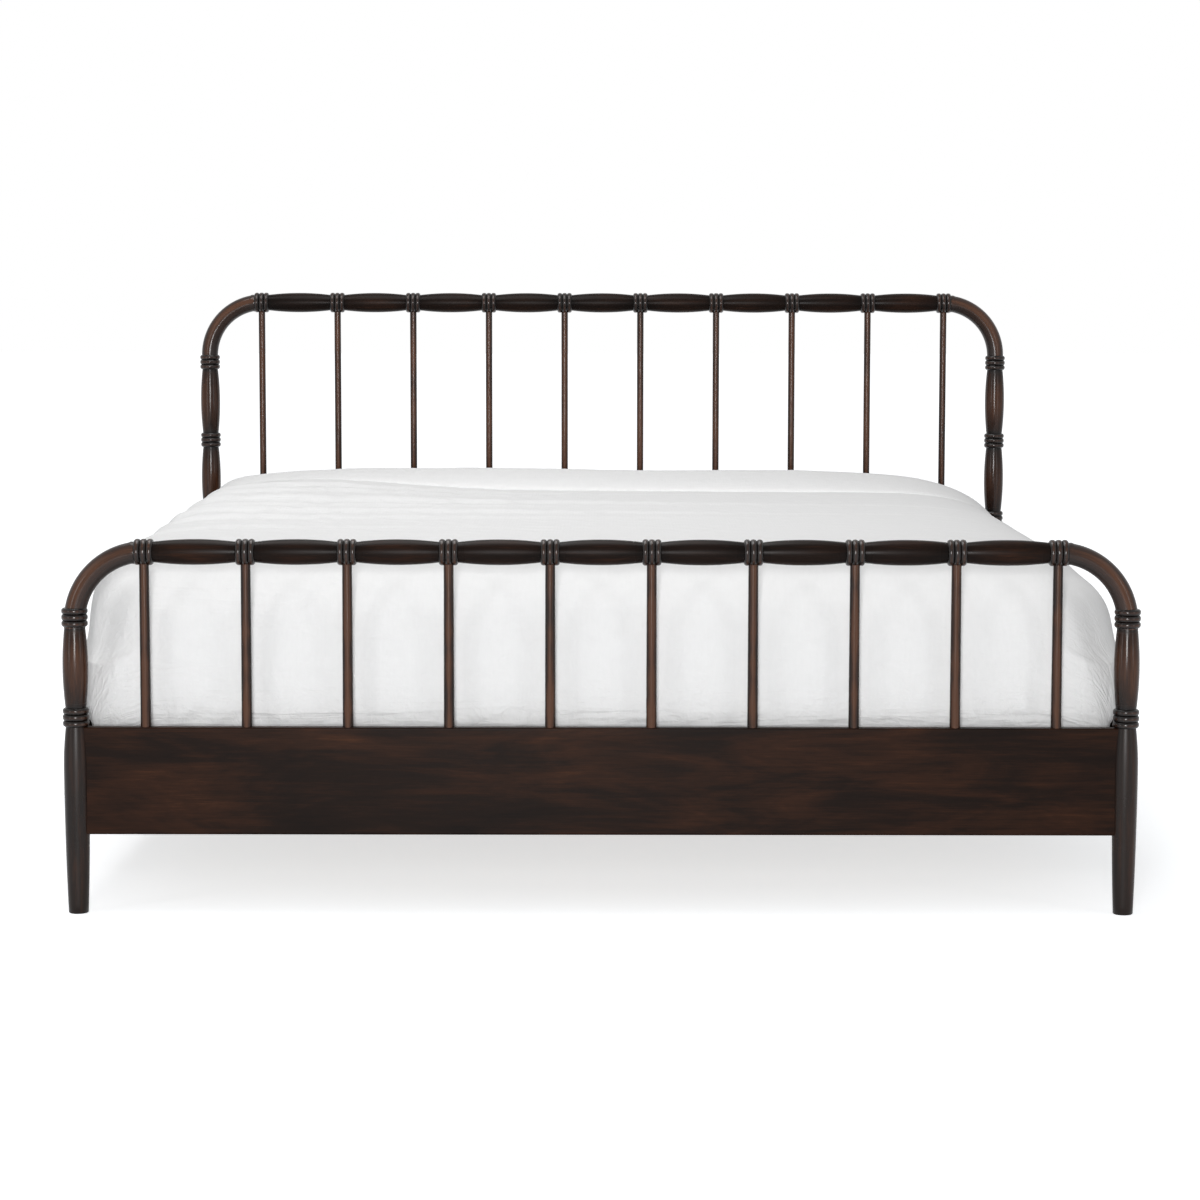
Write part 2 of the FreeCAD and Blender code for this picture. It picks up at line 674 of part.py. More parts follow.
def make_centre_leg():
    """Leg block under the beam, its dowels, the threaded insert in its sole and the levelling foot."""
    middle = leg_middle
    half_width = dim.centre_leg_width / 2
    half_depth = dim.centre_leg_depth / 2
    leg = block(
        "centre_leg_block", (-half_width, half_width), (middle - half_depth, middle + half_depth),
        (leg_bottom, beam_bottom),
    )
    depth = dim.dowel_length / 2 + dim.end_gap
    bores = [
        rod(f"leg_bore_{number}", dim.dowel_radius + dim.glue_gap, depth + dim.overrun, 0,
            middle + dim.leg_dowel_spacing * share, beam_bottom - depth)
        for number, share in enumerate(PAIR_SHARES)
    ]
    stem_room = dim.stem_length + dim.leveller_travel + dim.overrun
    bores.append(rod("leg_insert_bore", dim.insert_radius + dim.glue_gap, dim.insert_length + dim.overrun, 0,
                     middle, leg_bottom - dim.overrun))
    bores.append(rod("leg_stem_bore", dim.thread_radius + dim.end_gap, stem_room, 0, middle, leg_bottom))
    node(cut("centre_leg", leg, bores), "centre_leg")
    dowels = [
        rod(f"leg_dowel_{number}", dim.dowel_radius, dim.dowel_length, 0,
            middle + dim.leg_dowel_spacing * share, beam_bottom - dim.dowel_length / 2)
        for number, share in enumerate(PAIR_SHARES)
    ]
    group("centre_leg_dowels", dowels)

    collar = rod("insert_collar", dim.insert_radius, dim.insert_length, 0, middle, leg_bottom)
    bore = rod("insert_bore", dim.thread_radius + dim.thread_gap, dim.insert_length + dim.overrun * 2,
               0, middle, leg_bottom - dim.overrun)
    node(cut("leveller_insert", collar, [bore]), "leveller_insert")
    pad = rod("leveller_pad", dim.leveller_pad_radius, dim.leveller_pad_height, 0, middle, 0)
    stem = rod("leveller_stem", dim.thread_radius, dim.stem_length + dim.leveller_pad_height / 2, 0, middle,
               dim.leveller_pad_height / 2)
    node(fused("levelling_foot", [pad, stem]), "levelling_foot")


def stacked(body, name, kind, levels, corner, head_corner):
    """Ruled loft through level rounded rectangles, each given by its height, two sides and two ends."""
    sketches = []
    for number, (height, sides, ends) in enumerate(levels):
        sketch = sketch_on(body, f"{name}_level_{number}", "XY_Plane", height)
        draw_rounded(sketch, sides, ends, corner, head_corner)
        sketches.append(sketch)
    loft = body.newObject(kind, name)
    loft.Profile = sketches[0]
    loft.Sections = sketches[1:]
    loft.Ruled = True
    doc.recompute()
    return loft


def mattress_border():
    """Height and inset of each level of the mattress: base, lower tape, waist, upper tape, edge, crown."""
    base = dim.slat_top
    edge = dim.mattress_edge
    top = base + dim.mattress_height - dim.mattress_crown
    return [
        (base, edge), (base + edge, 0), ((base + top) / 2, dim.mattress_draw), (top - edge, 0),
        (top, edge), (top + dim.mattress_crown, dim.mattress_crown_inset),
    ]


def make_mattress():
    """Mattress with rolled edges, a drawn-in border and a low crown."""
    body = node(doc.addObject("PartDesign::Body", "mattress"), "mattress")
    half = dim.mattress_width / 2
    levels = [
        (height, (inset - half, half - inset), (mattress_foot + inset, mattress_head - inset))
        for height, inset in mattress_border()
    ]
    corner = dim.mattress_corner
    stacked(body, "mattress_form", "PartDesign::AdditiveLoft", levels, corner, corner)


def make_duvet():
    """Duvet that hangs over three sides of the mattress, with a rounded shoulder and a fold at the head."""
    body = node(doc.addObject("PartDesign::Body", "duvet"), "duvet")
    foot = dim.duvet_foot_gap - panel_face
    head = mattress_head - dim.duvet_head_gap
    drop = duvet_top - duvet_bottom
    hem = duvet_half_width - dim.duvet_side_tuck
    beside = rail_face - dim.duvet_rail_clear
    over = duvet_half_width - dim.duvet_roll_inset
    rail_top = dim.foot_panel_top
    levels = [
        (duvet_bottom, (-hem, hem), (foot + dim.duvet_foot_tuck, head)),
        (rail_top + dim.duvet_rail_clear, (-beside, beside), (foot + dim.duvet_foot_tuck / 2, head)),
        (rail_top + dim.duvet_rail_roll, (-over, over), (foot + dim.duvet_roll_inset, head)),
    ]
    for height_share, inset_share in SHOULDER_SHARES:
        left = dim.duvet_left_shoulder * inset_share - duvet_half_width
        right = duvet_half_width - dim.duvet_right_shoulder * inset_share
        near = foot + dim.duvet_foot_shoulder * inset_share
        levels.append((duvet_bottom + drop * height_share, (left, right), (near, head)))
    stacked(body, "duvet_form", "PartDesign::AdditiveLoft", levels, dim.duvet_corner, dim.duvet_head_corner)

    front = head - dim.fold_depth
    lip = front + dim.fold_lip
    lip_height = dim.fold_rise - dim.fold_crown + dim.fold_sink
    lip_slope = root(dim.fold_lip * dim.fold_lip + lip_height * lip_height)
    arcs = {2: arc_radius((head - lip) / 2, dim.fold_crown), 3: arc_radius(lip_slope / 2, dim.fold_bulge)}
    fold_reach = duvet_half_width - dim.fold_side_inset
    spread = fold_reach + dim.fold_run_out
    sections = []
    stations = (
        (-spread, dim.fold_end_drop), (-fold_reach, 0), (fold_reach, 0), (spread, dim.fold_end_drop),
    )
    for number, (across, drop_here) in enumerate(stations):
        sketch = sketch_on(body, f"duvet_fold_section_{number}", "YZ_Plane", across)
        low = duvet_top - dim.fold_sink - drop_here
        crest = low + lip_height
        draw_outline(sketch, [(front, low), (head, low), (head, crest), (lip, crest)], arcs)
        sections.append(sketch)
    fold = body.newObject("PartDesign::AdditiveLoft", "duvet_fold")
    fold.Profile = sections[0]
    fold.Sections = sections[1:]
    fold.Ruled = True
    doc.recompute()

    room = dim.soft_gap
    half = dim.mattress_width / 2 + room
    upper_tape, upper_edge, crown = mattress_border()[-3:]
    open_end = mattress_head + dim.overrun
    cavity = [
        (height + room, (inset - half, half - inset), (mattress_foot - room + inset, open_end))
        for height, inset in ((duvet_bottom - dim.overrun, 0), upper_tape, upper_edge, crown)
    ]
    hollow = stacked(
        body, "duvet_hollow", "PartDesign::SubtractiveLoft", cavity,
        dim.mattress_corner, dim.duvet_head_corner,
    )
    if not hollow.Shape.Volume < fold.Shape.Volume:
        raise RuntimeError("the duvet has no hollow for the mattress")


BOARDS = (
    ("footboard", -1, dim.foot_rail_height, dim.foot_elbow_trim, dim.foot_bead_group_count,
     dim.foot_panel_top, dim.foot_spindle_radius),
    ("headboard", 1, dim.head_rail_height, dim.head_elbow_trim, dim.head_bead_group_count,
     dim.head_panel_top, dim.head_spindle_radius),
)
SIDES = (("left", -1), ("right", 1))

elbow_dowels = []
for board, along, rail_height, trim, bead_groups, panel_top, spindle_radius in BOARDS:
    for side, across in SIDES:
        make_post(f"{board}_post_{side}", across, along, rail_height, trim, bead_groups, panel_top)
        elbow_dowels += make_elbow(f"{board}_elbow_{side}", across, along, rail_height, trim)
    make_top_rail(f"{board}_top_rail", along, rail_height, spindle_radius)
    make_panel(f"{board}_panel", along, panel_top, spindle_radius)
    make_spindles(board, along, rail_height, panel_top, spindle_radius)
group("elbow_dowels", elbow_dowels)
for side, across in SIDES:
    make_side_rail(f"side_rail_{side}", across)
fasteners = [make_rail_fastener(across, along) for _, across in SIDES for along in (-1, 1)]
group("rail_hook_plates", [hook for hook, slotted in fasteners])
group("post_slot_plates", [slotted for hook, slotted in fasteners])
make_slat_frame()
make_centre_leg()
make_mattress()
make_duvet()
doc.recompute()

for item in doc.Objects:
    if {"Invalid", "Error"} & set(item.State):
        raise RuntimeError(f"{item.Label} failed: {item.State}")
for part in NODES:
    if part.Shape.isNull() or not part.Shape.isValid() or not part.Shape.Solids:
        raise RuntimeError(f"{part.Label} has no valid solid")

os.makedirs("parts", exist_ok=True)
for part in NODES:
    part.Shape.exportStep(f"parts/{part.Label}.step")
    solids = part.Shape.Solids
    print(part.Label, len(solids), "solid", round(sum(solid.Volume for solid in solids)), "mm3")
print(len(NODES), "nodes")
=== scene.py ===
# %% [markdown]
# A king-size spindle bed: two turned end frames with bent elbows, boards between the posts, slats, a mattress
# and a white duvet. The imported CAD model already holds every solid at its real size, so this lesson only dresses
# it. It loads that model as a fixed frame, and then adds finer turnings, finishes and bedding, one step at a time.

# %% Load the frame
import math

import bpy
import numpy as np
from mathutils import Matrix, Vector


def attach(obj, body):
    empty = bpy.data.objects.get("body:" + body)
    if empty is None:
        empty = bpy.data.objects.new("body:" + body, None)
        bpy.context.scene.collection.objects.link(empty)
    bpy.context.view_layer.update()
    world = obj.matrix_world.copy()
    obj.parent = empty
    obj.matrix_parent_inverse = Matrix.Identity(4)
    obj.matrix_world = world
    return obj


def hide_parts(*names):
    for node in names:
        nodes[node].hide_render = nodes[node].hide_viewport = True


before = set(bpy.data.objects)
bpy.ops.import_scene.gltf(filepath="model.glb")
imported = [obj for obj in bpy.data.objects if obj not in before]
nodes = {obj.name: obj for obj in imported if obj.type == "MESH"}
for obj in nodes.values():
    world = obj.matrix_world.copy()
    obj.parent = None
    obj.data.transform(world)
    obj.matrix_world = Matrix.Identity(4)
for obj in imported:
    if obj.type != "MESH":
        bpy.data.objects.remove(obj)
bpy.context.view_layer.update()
scene = bpy.context.scene

# %% [markdown]
# The picture was taken from a little above the headboard's rail, square on to the footboard, with a long lens.
# A camera can be matched by eye, or worked out from points whose places are known. Here the lens, distance and
# tilt were worked out from the spindles, posts and panel edges, so that they land where the picture shows them.

# %% Camera
LENS_MM = 94.30
SENSOR_MM = 36.0
CAMERA_PLACE = (0.00904, -7.1073, 1.1949)
TILT_DEG, YAW_DEG, ROLL_DEG = 84.5, 0.1033, 0.0621

lens = bpy.data.cameras.new("picture_camera")
lens.lens = LENS_MM
lens.sensor_width = SENSOR_MM
camera = bpy.data.objects.new("picture_camera", lens)
scene.collection.objects.link(camera)
turn = Matrix.Rotation(math.radians(YAW_DEG), 4, "Z") @ Matrix.Rotation(math.radians(TILT_DEG), 4, "X")
turn = turn @ Matrix.Rotation(math.radians(ROLL_DEG), 4, "Z")
camera.matrix_world = Matrix.Translation(CAMERA_PLACE) @ turn
scene.camera = camera
print("camera stands", round(-CAMERA_PLACE[1], 2), "m in front of the bed's middle")

# %% [markdown]
# A material is a small graph of nodes. The next helpers keep those graphs short: one makes an empty material with
# its shader, one adds a node and fills its sockets, where a socket of another node is linked and a plain value is
# set. Values that are the same all over a surface stay on the shader's own sockets.

# %% Node helpers


def add_node(tree, kind, settings=None, **sockets):
    """A node of one kind, with its settings, and each named socket linked to another socket or set to a value."""
    node = tree.nodes.new("ShaderNode" + kind)
    for name, value in (settings or {}).items():
        setattr(node, name, value)
    for name, value in sockets.items():
        key = int(name[1:]) if name[0] == "i" and name[1:].isdigit() else name.replace("_", " ")
        if isinstance(value, bpy.types.NodeSocket):
            tree.links.new(value, node.inputs[key])
        else:
            node.inputs[key].default_value = value
    return node


def new_material(name, **sockets):
    """An empty material with a Principled shader, and that shader's plain values set."""
    material = bpy.data.materials.new(name)
    material.use_nodes = True
    shader = material.node_tree.nodes["Principled BSDF"]
    for key, value in sockets.items():
        shader.inputs[key.replace("_", " ")].default_value = value
    return material, material.node_tree, shader


def attribute_of(tree, name, output):
    """What a mesh attribute holds at each place on the surface."""
    return add_node(tree, "Attribute", {"attribute_name": name}).outputs[output]


def object_place(tree):
    """The place on the piece, in metres."""
    return add_node(tree, "TexCoord").outputs["Object"]


def ranged(tree, value, low, high, new_low, new_high):
    """A socket's range from low to high carried to a new range, and cut off at its ends."""
    return add_node(tree, "MapRange", Value=value, From_Min=low, From_Max=high, To_Min=new_low,
                    To_Max=new_high).outputs[0]


def stretched_noise(tree, place, scale, detail, roughness, warp=0.0):
    """Noise whose cells are drawn out along the grain: the place is scaled per axis before the noise reads it."""
    mapped = add_node(tree, "Mapping", i0=place, Scale=scale)
    noise = add_node(tree, "TexNoise", Vector=mapped.outputs[0], Scale=1.0, Detail=detail, Roughness=roughness,
                     Distortion=warp)
    return noise.outputs["Fac"]


def colour_ramp(tree, factor, stops):
    """Colours along a scale: each stop is a position and a linear colour."""
    ramp = add_node(tree, "ValToRGB", Fac=factor)
    while len(ramp.color_ramp.elements) < len(stops):
        ramp.color_ramp.elements.new(0.5)
    for element, (position, colour) in zip(ramp.color_ramp.elements, stops):
        element.position = position
        element.color = (*colour, 1.0)
    return ramp.outputs["Color"]


def weighted(tree, *terms):
    """Sum of sockets, each times its own number."""
    total = None
    for socket, weight in terms:
        part = add_node(tree, "Math", {"operation": "MULTIPLY"}, i0=socket, i1=weight).outputs[0]
        total = part if total is None else add_node(tree, "Math", i0=total, i1=part).outputs[0]
    return total


def bump_from(tree, shader, height, strength, distance):
    """Small relief on a shader from a height socket."""
    bump = add_node(tree, "Bump", Height=height, Strength=strength, Distance=distance)
    tree.links.new(bump.outputs[0], shader.inputs["Normal"])


print("node helpers ready")

# %% [markdown]
# The frame is a close-grained hardwood under a very dark brown stain. Long streaks and softer patches of a warmer
# brown show through it, and lacquer gives soft highlights. On boards the grain runs straight, so object coordinates
# drawn out along the board are enough. On turned and bent pieces the grain has to follow the piece, so those carry
# their own grain coordinates as a mesh attribute. A second attribute shifts the brown along and around the piece:
# lighter on the bellies of swells and darker on beads away from their crests. On top of that it paints
# highlights on bead crests, on elbows and down the front and back of spindles, and painted shade on the spindles'
# sides. One function makes every finish, and its gloss tells them apart: dull boards and rails, satin posts and
# spindles, polished beads and elbows.

# %% Stained wood
STAIN = ((0.30, (0.0040, 0.0025, 0.0020)), (0.44, (0.0105, 0.0052, 0.0035)),
         (0.56, (0.0280, 0.0112, 0.0060)), (0.72, (0.0800, 0.0310, 0.0140)))
TURNED_SHARES, BOARD_SHARES = (0.46, 0.32, 0.20), (0.60, 0.23, 0.13)  # of patches, streaks and pores
RUB_AND_PAINTED_LIGHT_SHARE, SHEEN_SHARE = 0.12, 0.14


def drawn_out(along, across, lengthwise):
    """Noise scale for each axis. along is the axis of the grain, as three numbers with a one on that axis."""
    return [lengthwise if axis else across for axis in along]


def stained_wood(name, along, turned, gloss):
    """Dark stain over stretched noise: streaks and patches choose the brown, fine pores give the relief.

    A turner's piece reads its own grain coordinates. Its second attribute, of rub and painted light, makes the brown
    lighter where it is high, painted highlights included, and makes those places smoother.
    """
    material, tree, shader = new_material(name, Specular_IOR_Level=gloss)
    place = attribute_of(tree, "grain", "Vector") if turned else object_place(tree)
    patches = stretched_noise(tree, place, drawn_out(along, 15.0, 3.0), 4.0, 0.60, 0.6)
    streaks = stretched_noise(tree, place, drawn_out(along, 115.0, 5.5), 6.0, 0.66, 0.5)
    pores = stretched_noise(tree, place, drawn_out(along, 700.0, 26.0), 3.0, 0.60)
    terms = list(zip((patches, streaks, pores), TURNED_SHARES if turned else BOARD_SHARES))
    dullness = ranged(tree, streaks, 0.3, 0.7, 0.30, 0.42)
    if turned:
        rubbed = attribute_of(tree, "rubbed", "Fac")
        terms.append((rubbed, RUB_AND_PAINTED_LIGHT_SHARE))
        necks = ranged(tree, rubbed, -1.0, -0.6, 0.20, 0.30)
        bellies = ranged(tree, rubbed, -0.3, 0.3, 0.0, 0.20)
        dullness = weighted(tree, (necks, 1.0), (bellies, -1.0), (dullness, SHEEN_SHARE))
    tree.links.new(colour_ramp(tree, weighted(tree, *terms), STAIN), shader.inputs["Base Color"])
    tree.links.new(dullness, shader.inputs["Roughness"])
    bump_from(tree, shader, weighted(tree, (pores, 0.6), (streaks, 0.4)), 0.12, 0.0006)
    return material


ACROSS, ALONG, UPRIGHT = (1, 0, 0), (0, 1, 0), (0, 0, 1)
turned_wood = stained_wood("stained_turned_wood", UPRIGHT, True, 0.20)
rail_wood = stained_wood("stained_rail_wood", UPRIGHT, True, 0.06)
polished_wood = stained_wood("stained_polished_wood", UPRIGHT, True, 0.28)
cross_board = stained_wood("stained_cross_board", ACROSS, False, 0.05)
long_board = stained_wood("stained_long_board", ALONG, False, 0.05)
print("three turned finishes and two board finishes")

# %% [markdown]
# The hidden pieces are plainer: planed pale softwood for the slats, cleats, beam and leg, and zinc-plated steel for
# the hangers, hooks and levelling foot. The softwood has the same stretched noise in pale colours. The steel is a
# metal whose roughness wanders a little, as plating does.

# %% Pale wood and steel
PALE = ((0.30, (0.46, 0.285, 0.135)), (0.50, (0.56, 0.375, 0.200)), (0.70, (0.64, 0.455, 0.265)))


def pale_wood(name, along):
    """Planed softwood: broad growth bands and fine fibres, both drawn out along the grain."""
    material, tree, shader = new_material(name, Roughness=0.62, Specular_IOR_Level=0.35)
    place = object_place(tree)
    bands = stretched_noise(tree, place, drawn_out(along, 42.0, 2.0), 3.0, 0.5, 0.8)
    fibres = stretched_noise(tree, place, drawn_out(along, 500.0, 12.0), 3.0, 0.6)
    mixed = weighted(tree, (bands, 0.75), (fibres, 0.25))
    tree.links.new(colour_ramp(tree, mixed, PALE), shader.inputs["Base Color"])
    bump_from(tree, shader, fibres, 0.15, 0.0005)
    return material


def zinc_steel():
    """Plated steel: a light metal whose roughness follows a fine noise."""
    material, tree, shader = new_material("zinc_plate", Metallic=1.0, Base_Color=(0.55, 0.56, 0.58, 1.0))
    spangle = stretched_noise(tree, object_place(tree), (90.0, 90.0, 90.0), 3.0, 0.55)
    tree.links.new(ranged(tree, spangle, 0.3, 0.7, 0.28, 0.46), shader.inputs["Roughness"])
    bump_from(tree, shader, spangle, 0.05, 0.0004)
    return material


pale_across = pale_wood("pale_wood_across", ACROSS)
pale_along = pale_wood("pale_wood_along", ALONG)
pale_upright = pale_wood("pale_wood_upright", UPRIGHT)
steel = zinc_steel()
print("pale wood in three grain directions, and steel")

# %% [markdown]
# CAD nodes whose shape is right only need a finish. Each node's name says what it is, so a short list from the
# start of a name to a material is enough. A node that a finer piece replaces later gets its finish here as well,
# which does no harm.

# %% Finish the CAD nodes
FINISHES = (
    ("slat_cleat", pale_along), ("slat_", pale_across), ("centre_beam", pale_along),
    ("centre_leg", pale_upright), ("elbow_dowels", pale_upright), ("side_rail", long_board),
    ("footboard_panel", cross_board), ("headboard_panel", cross_board), ("rail_hook_plates", steel),
    ("post_slot_plates", steel), ("beam_hanger", steel), ("leveller_insert", steel), ("levelling_foot", steel),
)
for node_name, thing in nodes.items():
    finish = next((material for start, material in FINISHES if node_name.startswith(start)), turned_wood)
    for material_slot in thing.material_slots:
        material_slot.material = finish
print("finishes given to", len(nodes), "nodes")

# %% [markdown]
# New pieces are grids of points. A grid has rows and columns, and quads join each point to its neighbours. One
# helper below turns rows and columns of point numbers into quads. Others put points and faces into a mesh object
# that stands at the origin, rides on a body and stands for its CAD node, and keep values on its points.

# %% Mesh helpers


def grid_quads(index):
    """Quads between neighbouring rows and columns of a table of point numbers."""
    corners = (index[:-1, :-1], index[:-1, 1:], index[1:, 1:], index[1:, :-1])
    return np.stack(corners, axis=-1).reshape(-1, 4)


def new_object(name, points, faces):
    """A mesh object of these points and faces, in the scene, at the origin."""
    mesh = bpy.data.meshes.new(name)
    mesh.from_pydata(points, [], faces)
    thing = bpy.data.objects.new(name, mesh)
    scene.collection.objects.link(thing)
    return thing


def add_piece(name, points, faces, material, body, replaced, crease_deg=None):
    """A smooth mesh object of these points and faces, with its finish, its body and the nodes it stands for."""
    piece = new_object(name, points.tolist(), faces)
    piece.data.polygons.foreach_set("use_smooth", np.ones(len(faces), bool))
    piece.data.materials.append(material)
    if crease_deg is not None:
        piece.data.set_sharp_from_angle(angle=math.radians(crease_deg))
    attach(piece, body)
    if replaced:
        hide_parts(*replaced)
    return piece


def keep_on_points(piece, name, values):
    """A number or a vector for each point, kept as a mesh attribute for the material to read."""
    kind, field = ("FLOAT", "value") if values.ndim == 1 else ("FLOAT_VECTOR", "vector")
    attribute = piece.data.attributes.new(name, kind, "POINT")
    attribute.data.foreach_set(field, values.astype(np.float32).ravel())


print("mesh helpers ready")

# %% [markdown]
# Posts, top rails, spindles and elbows are all round in section, so each is a circle carried along a line while its
# radius changes. The line is straight for turned pieces and a quarter circle for elbows. The same function makes
# them all: it needs the points of the line, two directions square to it at each point, and the radii.

# %% Round pieces
ROUND_SIDES, SLIM_SIDES = 48, 24
CREASE_DEG = 50.0
GRAIN_SHIFT = 4.0
draw = np.random.default_rng(11)


def ring_angles(sides):
    """Even angles round a ring: a = 2 pi j / sides."""
    return np.arange(sides) * 2 * math.pi / sides


def carried_circle(centres, outward, sideways, radii, angle):
    """Circle carried along a line: point (k, j) is centre k + radius k * (cos a * outward k + sin a * sideways k),
    for the angle a of side j."""
    circle = np.cos(angle)[None, :, None] * outward[:, None] + np.sin(angle)[None, :, None] * sideways[:, None]
    return centres[:, None] + radii[:, None, None] * circle


def tube_faces(rings, sides):
    """Quads between neighbouring rings of points, closed round each ring, and one flat face on each end."""
    index = np.arange(rings * sides).reshape(rings, sides)
    quads = grid_quads(np.concatenate([index, index[:, :1]], axis=1))
    return quads.tolist() + [index[0, ::-1].tolist(), index[-1].tolist()]


def add_round_piece(name, centres, outward, sideways, profile, sides=ROUND_SIDES, around=np.zeros_like,
                    finish=turned_wood):
    """A carried circle with flat ends, whose grain follows its line.

    The grain attribute holds the place across the piece and the length along it, moved by a drawn offset so
    that no two pieces show the same wood. The attribute of rub and painted light is the profile's share of the ring
    plus around(a), a share that changes with the angle on the ring and paints highlights and shade on spindles and
    elbows. Faces between polished rings get the beads' finish.
    """
    station, radii, rubbed, polished = profile
    angle = ring_angles(sides)
    rings = carried_circle(centres, outward, sideways, radii, angle)
    piece = add_piece(name + "_turned", rings.reshape(-1, 3), tube_faces(*rings.shape[:2]), finish, "frame",
                      [name], CREASE_DEG)
    if polished.any():
        piece.data.materials.append(polished_wood)
        on_bead = np.repeat((polished[:-1] > 0) & (polished[1:] > 0), sides)
        piece.data.polygons.foreach_set("material_index", np.append(on_bead, [False, False]).astype(np.int32))
    across = radii[:, None, None] * np.stack([np.cos(angle), np.sin(angle)], axis=-1)[None]
    length = np.broadcast_to(station[:, None, None], across.shape[:2] + (1,))
    grain = np.concatenate([across, length], axis=-1) + draw.uniform(-GRAIN_SHIFT, GRAIN_SHIFT, 3)
    keep_on_points(piece, "grain", grain)
    keep_on_points(piece, "rubbed", (rubbed[:, None] + around(angle)).ravel())


def add_straight_piece(name, start, direction, outward, profile, **ring):
    """A round piece on a straight line from start, with its stations measured along direction."""
    direction, outward = np.array(direction, float), np.array(outward, float)
    centres = np.array(start) + profile[0][:, None] * direction
    ones = np.ones((len(centres), 1))
    add_round_piece(name, centres, ones * outward, ones * np.cross(direction, outward), profile, **ring)


print("rings of", ROUND_SIDES, "and", SLIM_SIDES, "sides")

# %% [markdown]
# A turner cuts the same two shapes again and again: a group of three touching beads, and a long swell between two
# groups. A bead is half an ellipse standing on the groove beside it. A swell is a low arc from neck to neck, which
# is close to a parabola. A profile is four rows: station, radius, share of rub and painted light, and a one on
# polished beads.

# %% Turned shapes
NECK, SWELL, BEAD, GROOVE = 0.0200, 0.0248, 0.0256, 0.0216
BEAD_PITCH, BEADS = 0.0124, 3
GROUP = BEAD_PITCH * BEADS
# Bead crests are painted lighter as a highlight, the rest of a bead is darker, and a swell darkens from its belly
# toward its necks.
BEAD_PAINTED_HIGHLIGHT, BEAD_DARKENING, HIGHLIGHT_CREST_WIDTH, SWELL_DARKENING = 0.4, -1.4, 0.1, 1.4
SAME_POINT = 1e-6


def bead_group(start):
    """Three half ellipses in a row: radius = base + (bead - base) * sqrt(1 - t * t), t from -1 to 1 over each bead,
    where base is the groove between beads and the neck at the ends of the group. The crest, where t * t is small, is
    painted lighter as a highlight, and the rest of the bead is darker."""
    t = -np.cos(np.linspace(0, math.pi, 13))
    number = np.arange(BEADS)[:, None]
    at_neck = ((number == 0) & (t < 0)) | ((number == BEADS - 1) & (t > 0))
    base = np.where(at_neck, NECK, GROOVE)
    radius = base + (BEAD - base) * np.sqrt(1 - t * t)
    station = start + BEAD_PITCH * (number + (t + 1) / 2)
    rubbed = np.where(t * t < HIGHLIGHT_CREST_WIDTH, BEAD_PAINTED_HIGHLIGHT, BEAD_DARKENING) * np.ones_like(radius)
    return np.stack([station.ravel(), radius.ravel(), rubbed.ravel(), np.ones(radius.size)])


def swell(start, end, low=NECK, high=SWELL, steps=19):
    """Low arc between two necks: radius = high - (high - low) * t * t, t from -1 to 1. Its belly is lighter and its
    ends darker.
    """
    t = np.linspace(-1, 1, steps)[1:-1]
    station = start + (end - start) * (t + 1) / 2
    return np.stack([station, high - (high - low) * t * t, 1 - SWELL_DARKENING * t * t, np.zeros_like(t)])


def joined_profile(*parts):
    """Profiles one after another, without the points that two of them share."""
    profile = np.concatenate(parts, axis=1)
    kept = np.append(True, np.hypot(*np.diff(profile[:2], axis=1)) > SAME_POINT)
    return profile[:, kept]


print("a bead group is", round(GROUP * 1000, 1), "mm long")

# %% [markdown]
# Each post is one turning: a leg that swells gently and tapers to its sole, a bead group at the panel's top edge,
# and further groups up to the elbow with swells between them. The head posts are taller and have more groups.

# %% Posts
HALF_SPAN, HALF_LENGTH = 1.0175, 1.0650
SOLE, LEG_SWELL_HEIGHT, SOLE_EDGE = 0.0193, 0.285, 0.0015
LEG_RUB, LEG_RUB_HEIGHT, LEG_RUB_RUN, SOLE_STAIN = 0.10, 0.18, 0.30, -0.6
ELBOW_BEND = 0.1355
BOARDS = {
    "footboard": {"y": -HALF_LENGTH, "rail": 0.7053, "trim": 0.0275, "groups": 2, "panel": 0.3655,
                  "spindle": (0.0103, 0.0095)},
    "headboard": {"y": HALF_LENGTH, "rail": 1.1806, "trim": 0.0005, "groups": 4, "panel": 0.4040,
                  "spindle": (0.0086, 0.0084)},
}


def leg_profile(panel_top):
    """Leg from sole to panel top: two parabolas that meet at the leg's belly, and a small chamfer at the sole."""
    low = np.linspace(SOLE_EDGE, LEG_SWELL_HEIGHT, 20)
    high = np.linspace(LEG_SWELL_HEIGHT, panel_top, 9)[1:]
    low_share = (LEG_SWELL_HEIGHT - low) / LEG_SWELL_HEIGHT
    high_share = (high - LEG_SWELL_HEIGHT) / (panel_top - LEG_SWELL_HEIGHT)
    radius = np.concatenate([SWELL - (SWELL - SOLE) * low_share ** 2, SWELL - (SWELL - NECK) * high_share ** 2])
    station = np.concatenate([low, high])
    rubbed = LEG_RUB - np.abs(station - LEG_RUB_HEIGHT) / LEG_RUB_RUN
    edge = np.array([[0.0], [SOLE - SOLE_EDGE], [SOLE_STAIN], [0.0]])
    return np.concatenate([edge, np.stack([station, radius, rubbed, np.zeros_like(station)])], axis=1)


def post_profile(board):
    """Leg, then bead groups at even pitches up to the elbow, with a swell after every group but the last."""
    top = board["rail"] - ELBOW_BEND + board["trim"]
    starts = np.linspace(board["panel"], top - GROUP, board["groups"])
    parts = [leg_profile(board["panel"])]
    for start, following in zip(starts, starts[1:]):
        parts += [bead_group(start), swell(start + GROUP, following)]
    return joined_profile(*parts, bead_group(starts[-1]))


for board_name, board in BOARDS.items():
    for side, across in (("left", -1), ("right", 1)):
        add_straight_piece(f"{board_name}_post_{side}", (HALF_SPAN * across, board["y"], 0), (0, 0, 1), (1, 0, 0),
                           post_profile(board))
print("four turned posts")

# %% [markdown]
# A top rail lies on its side, with a bead group over every spindle and a swell between groups. The spindles are slim
# rods, a hair thicker at the foot than at the top, that stand in the panel's edge and end inside the rail's beads.

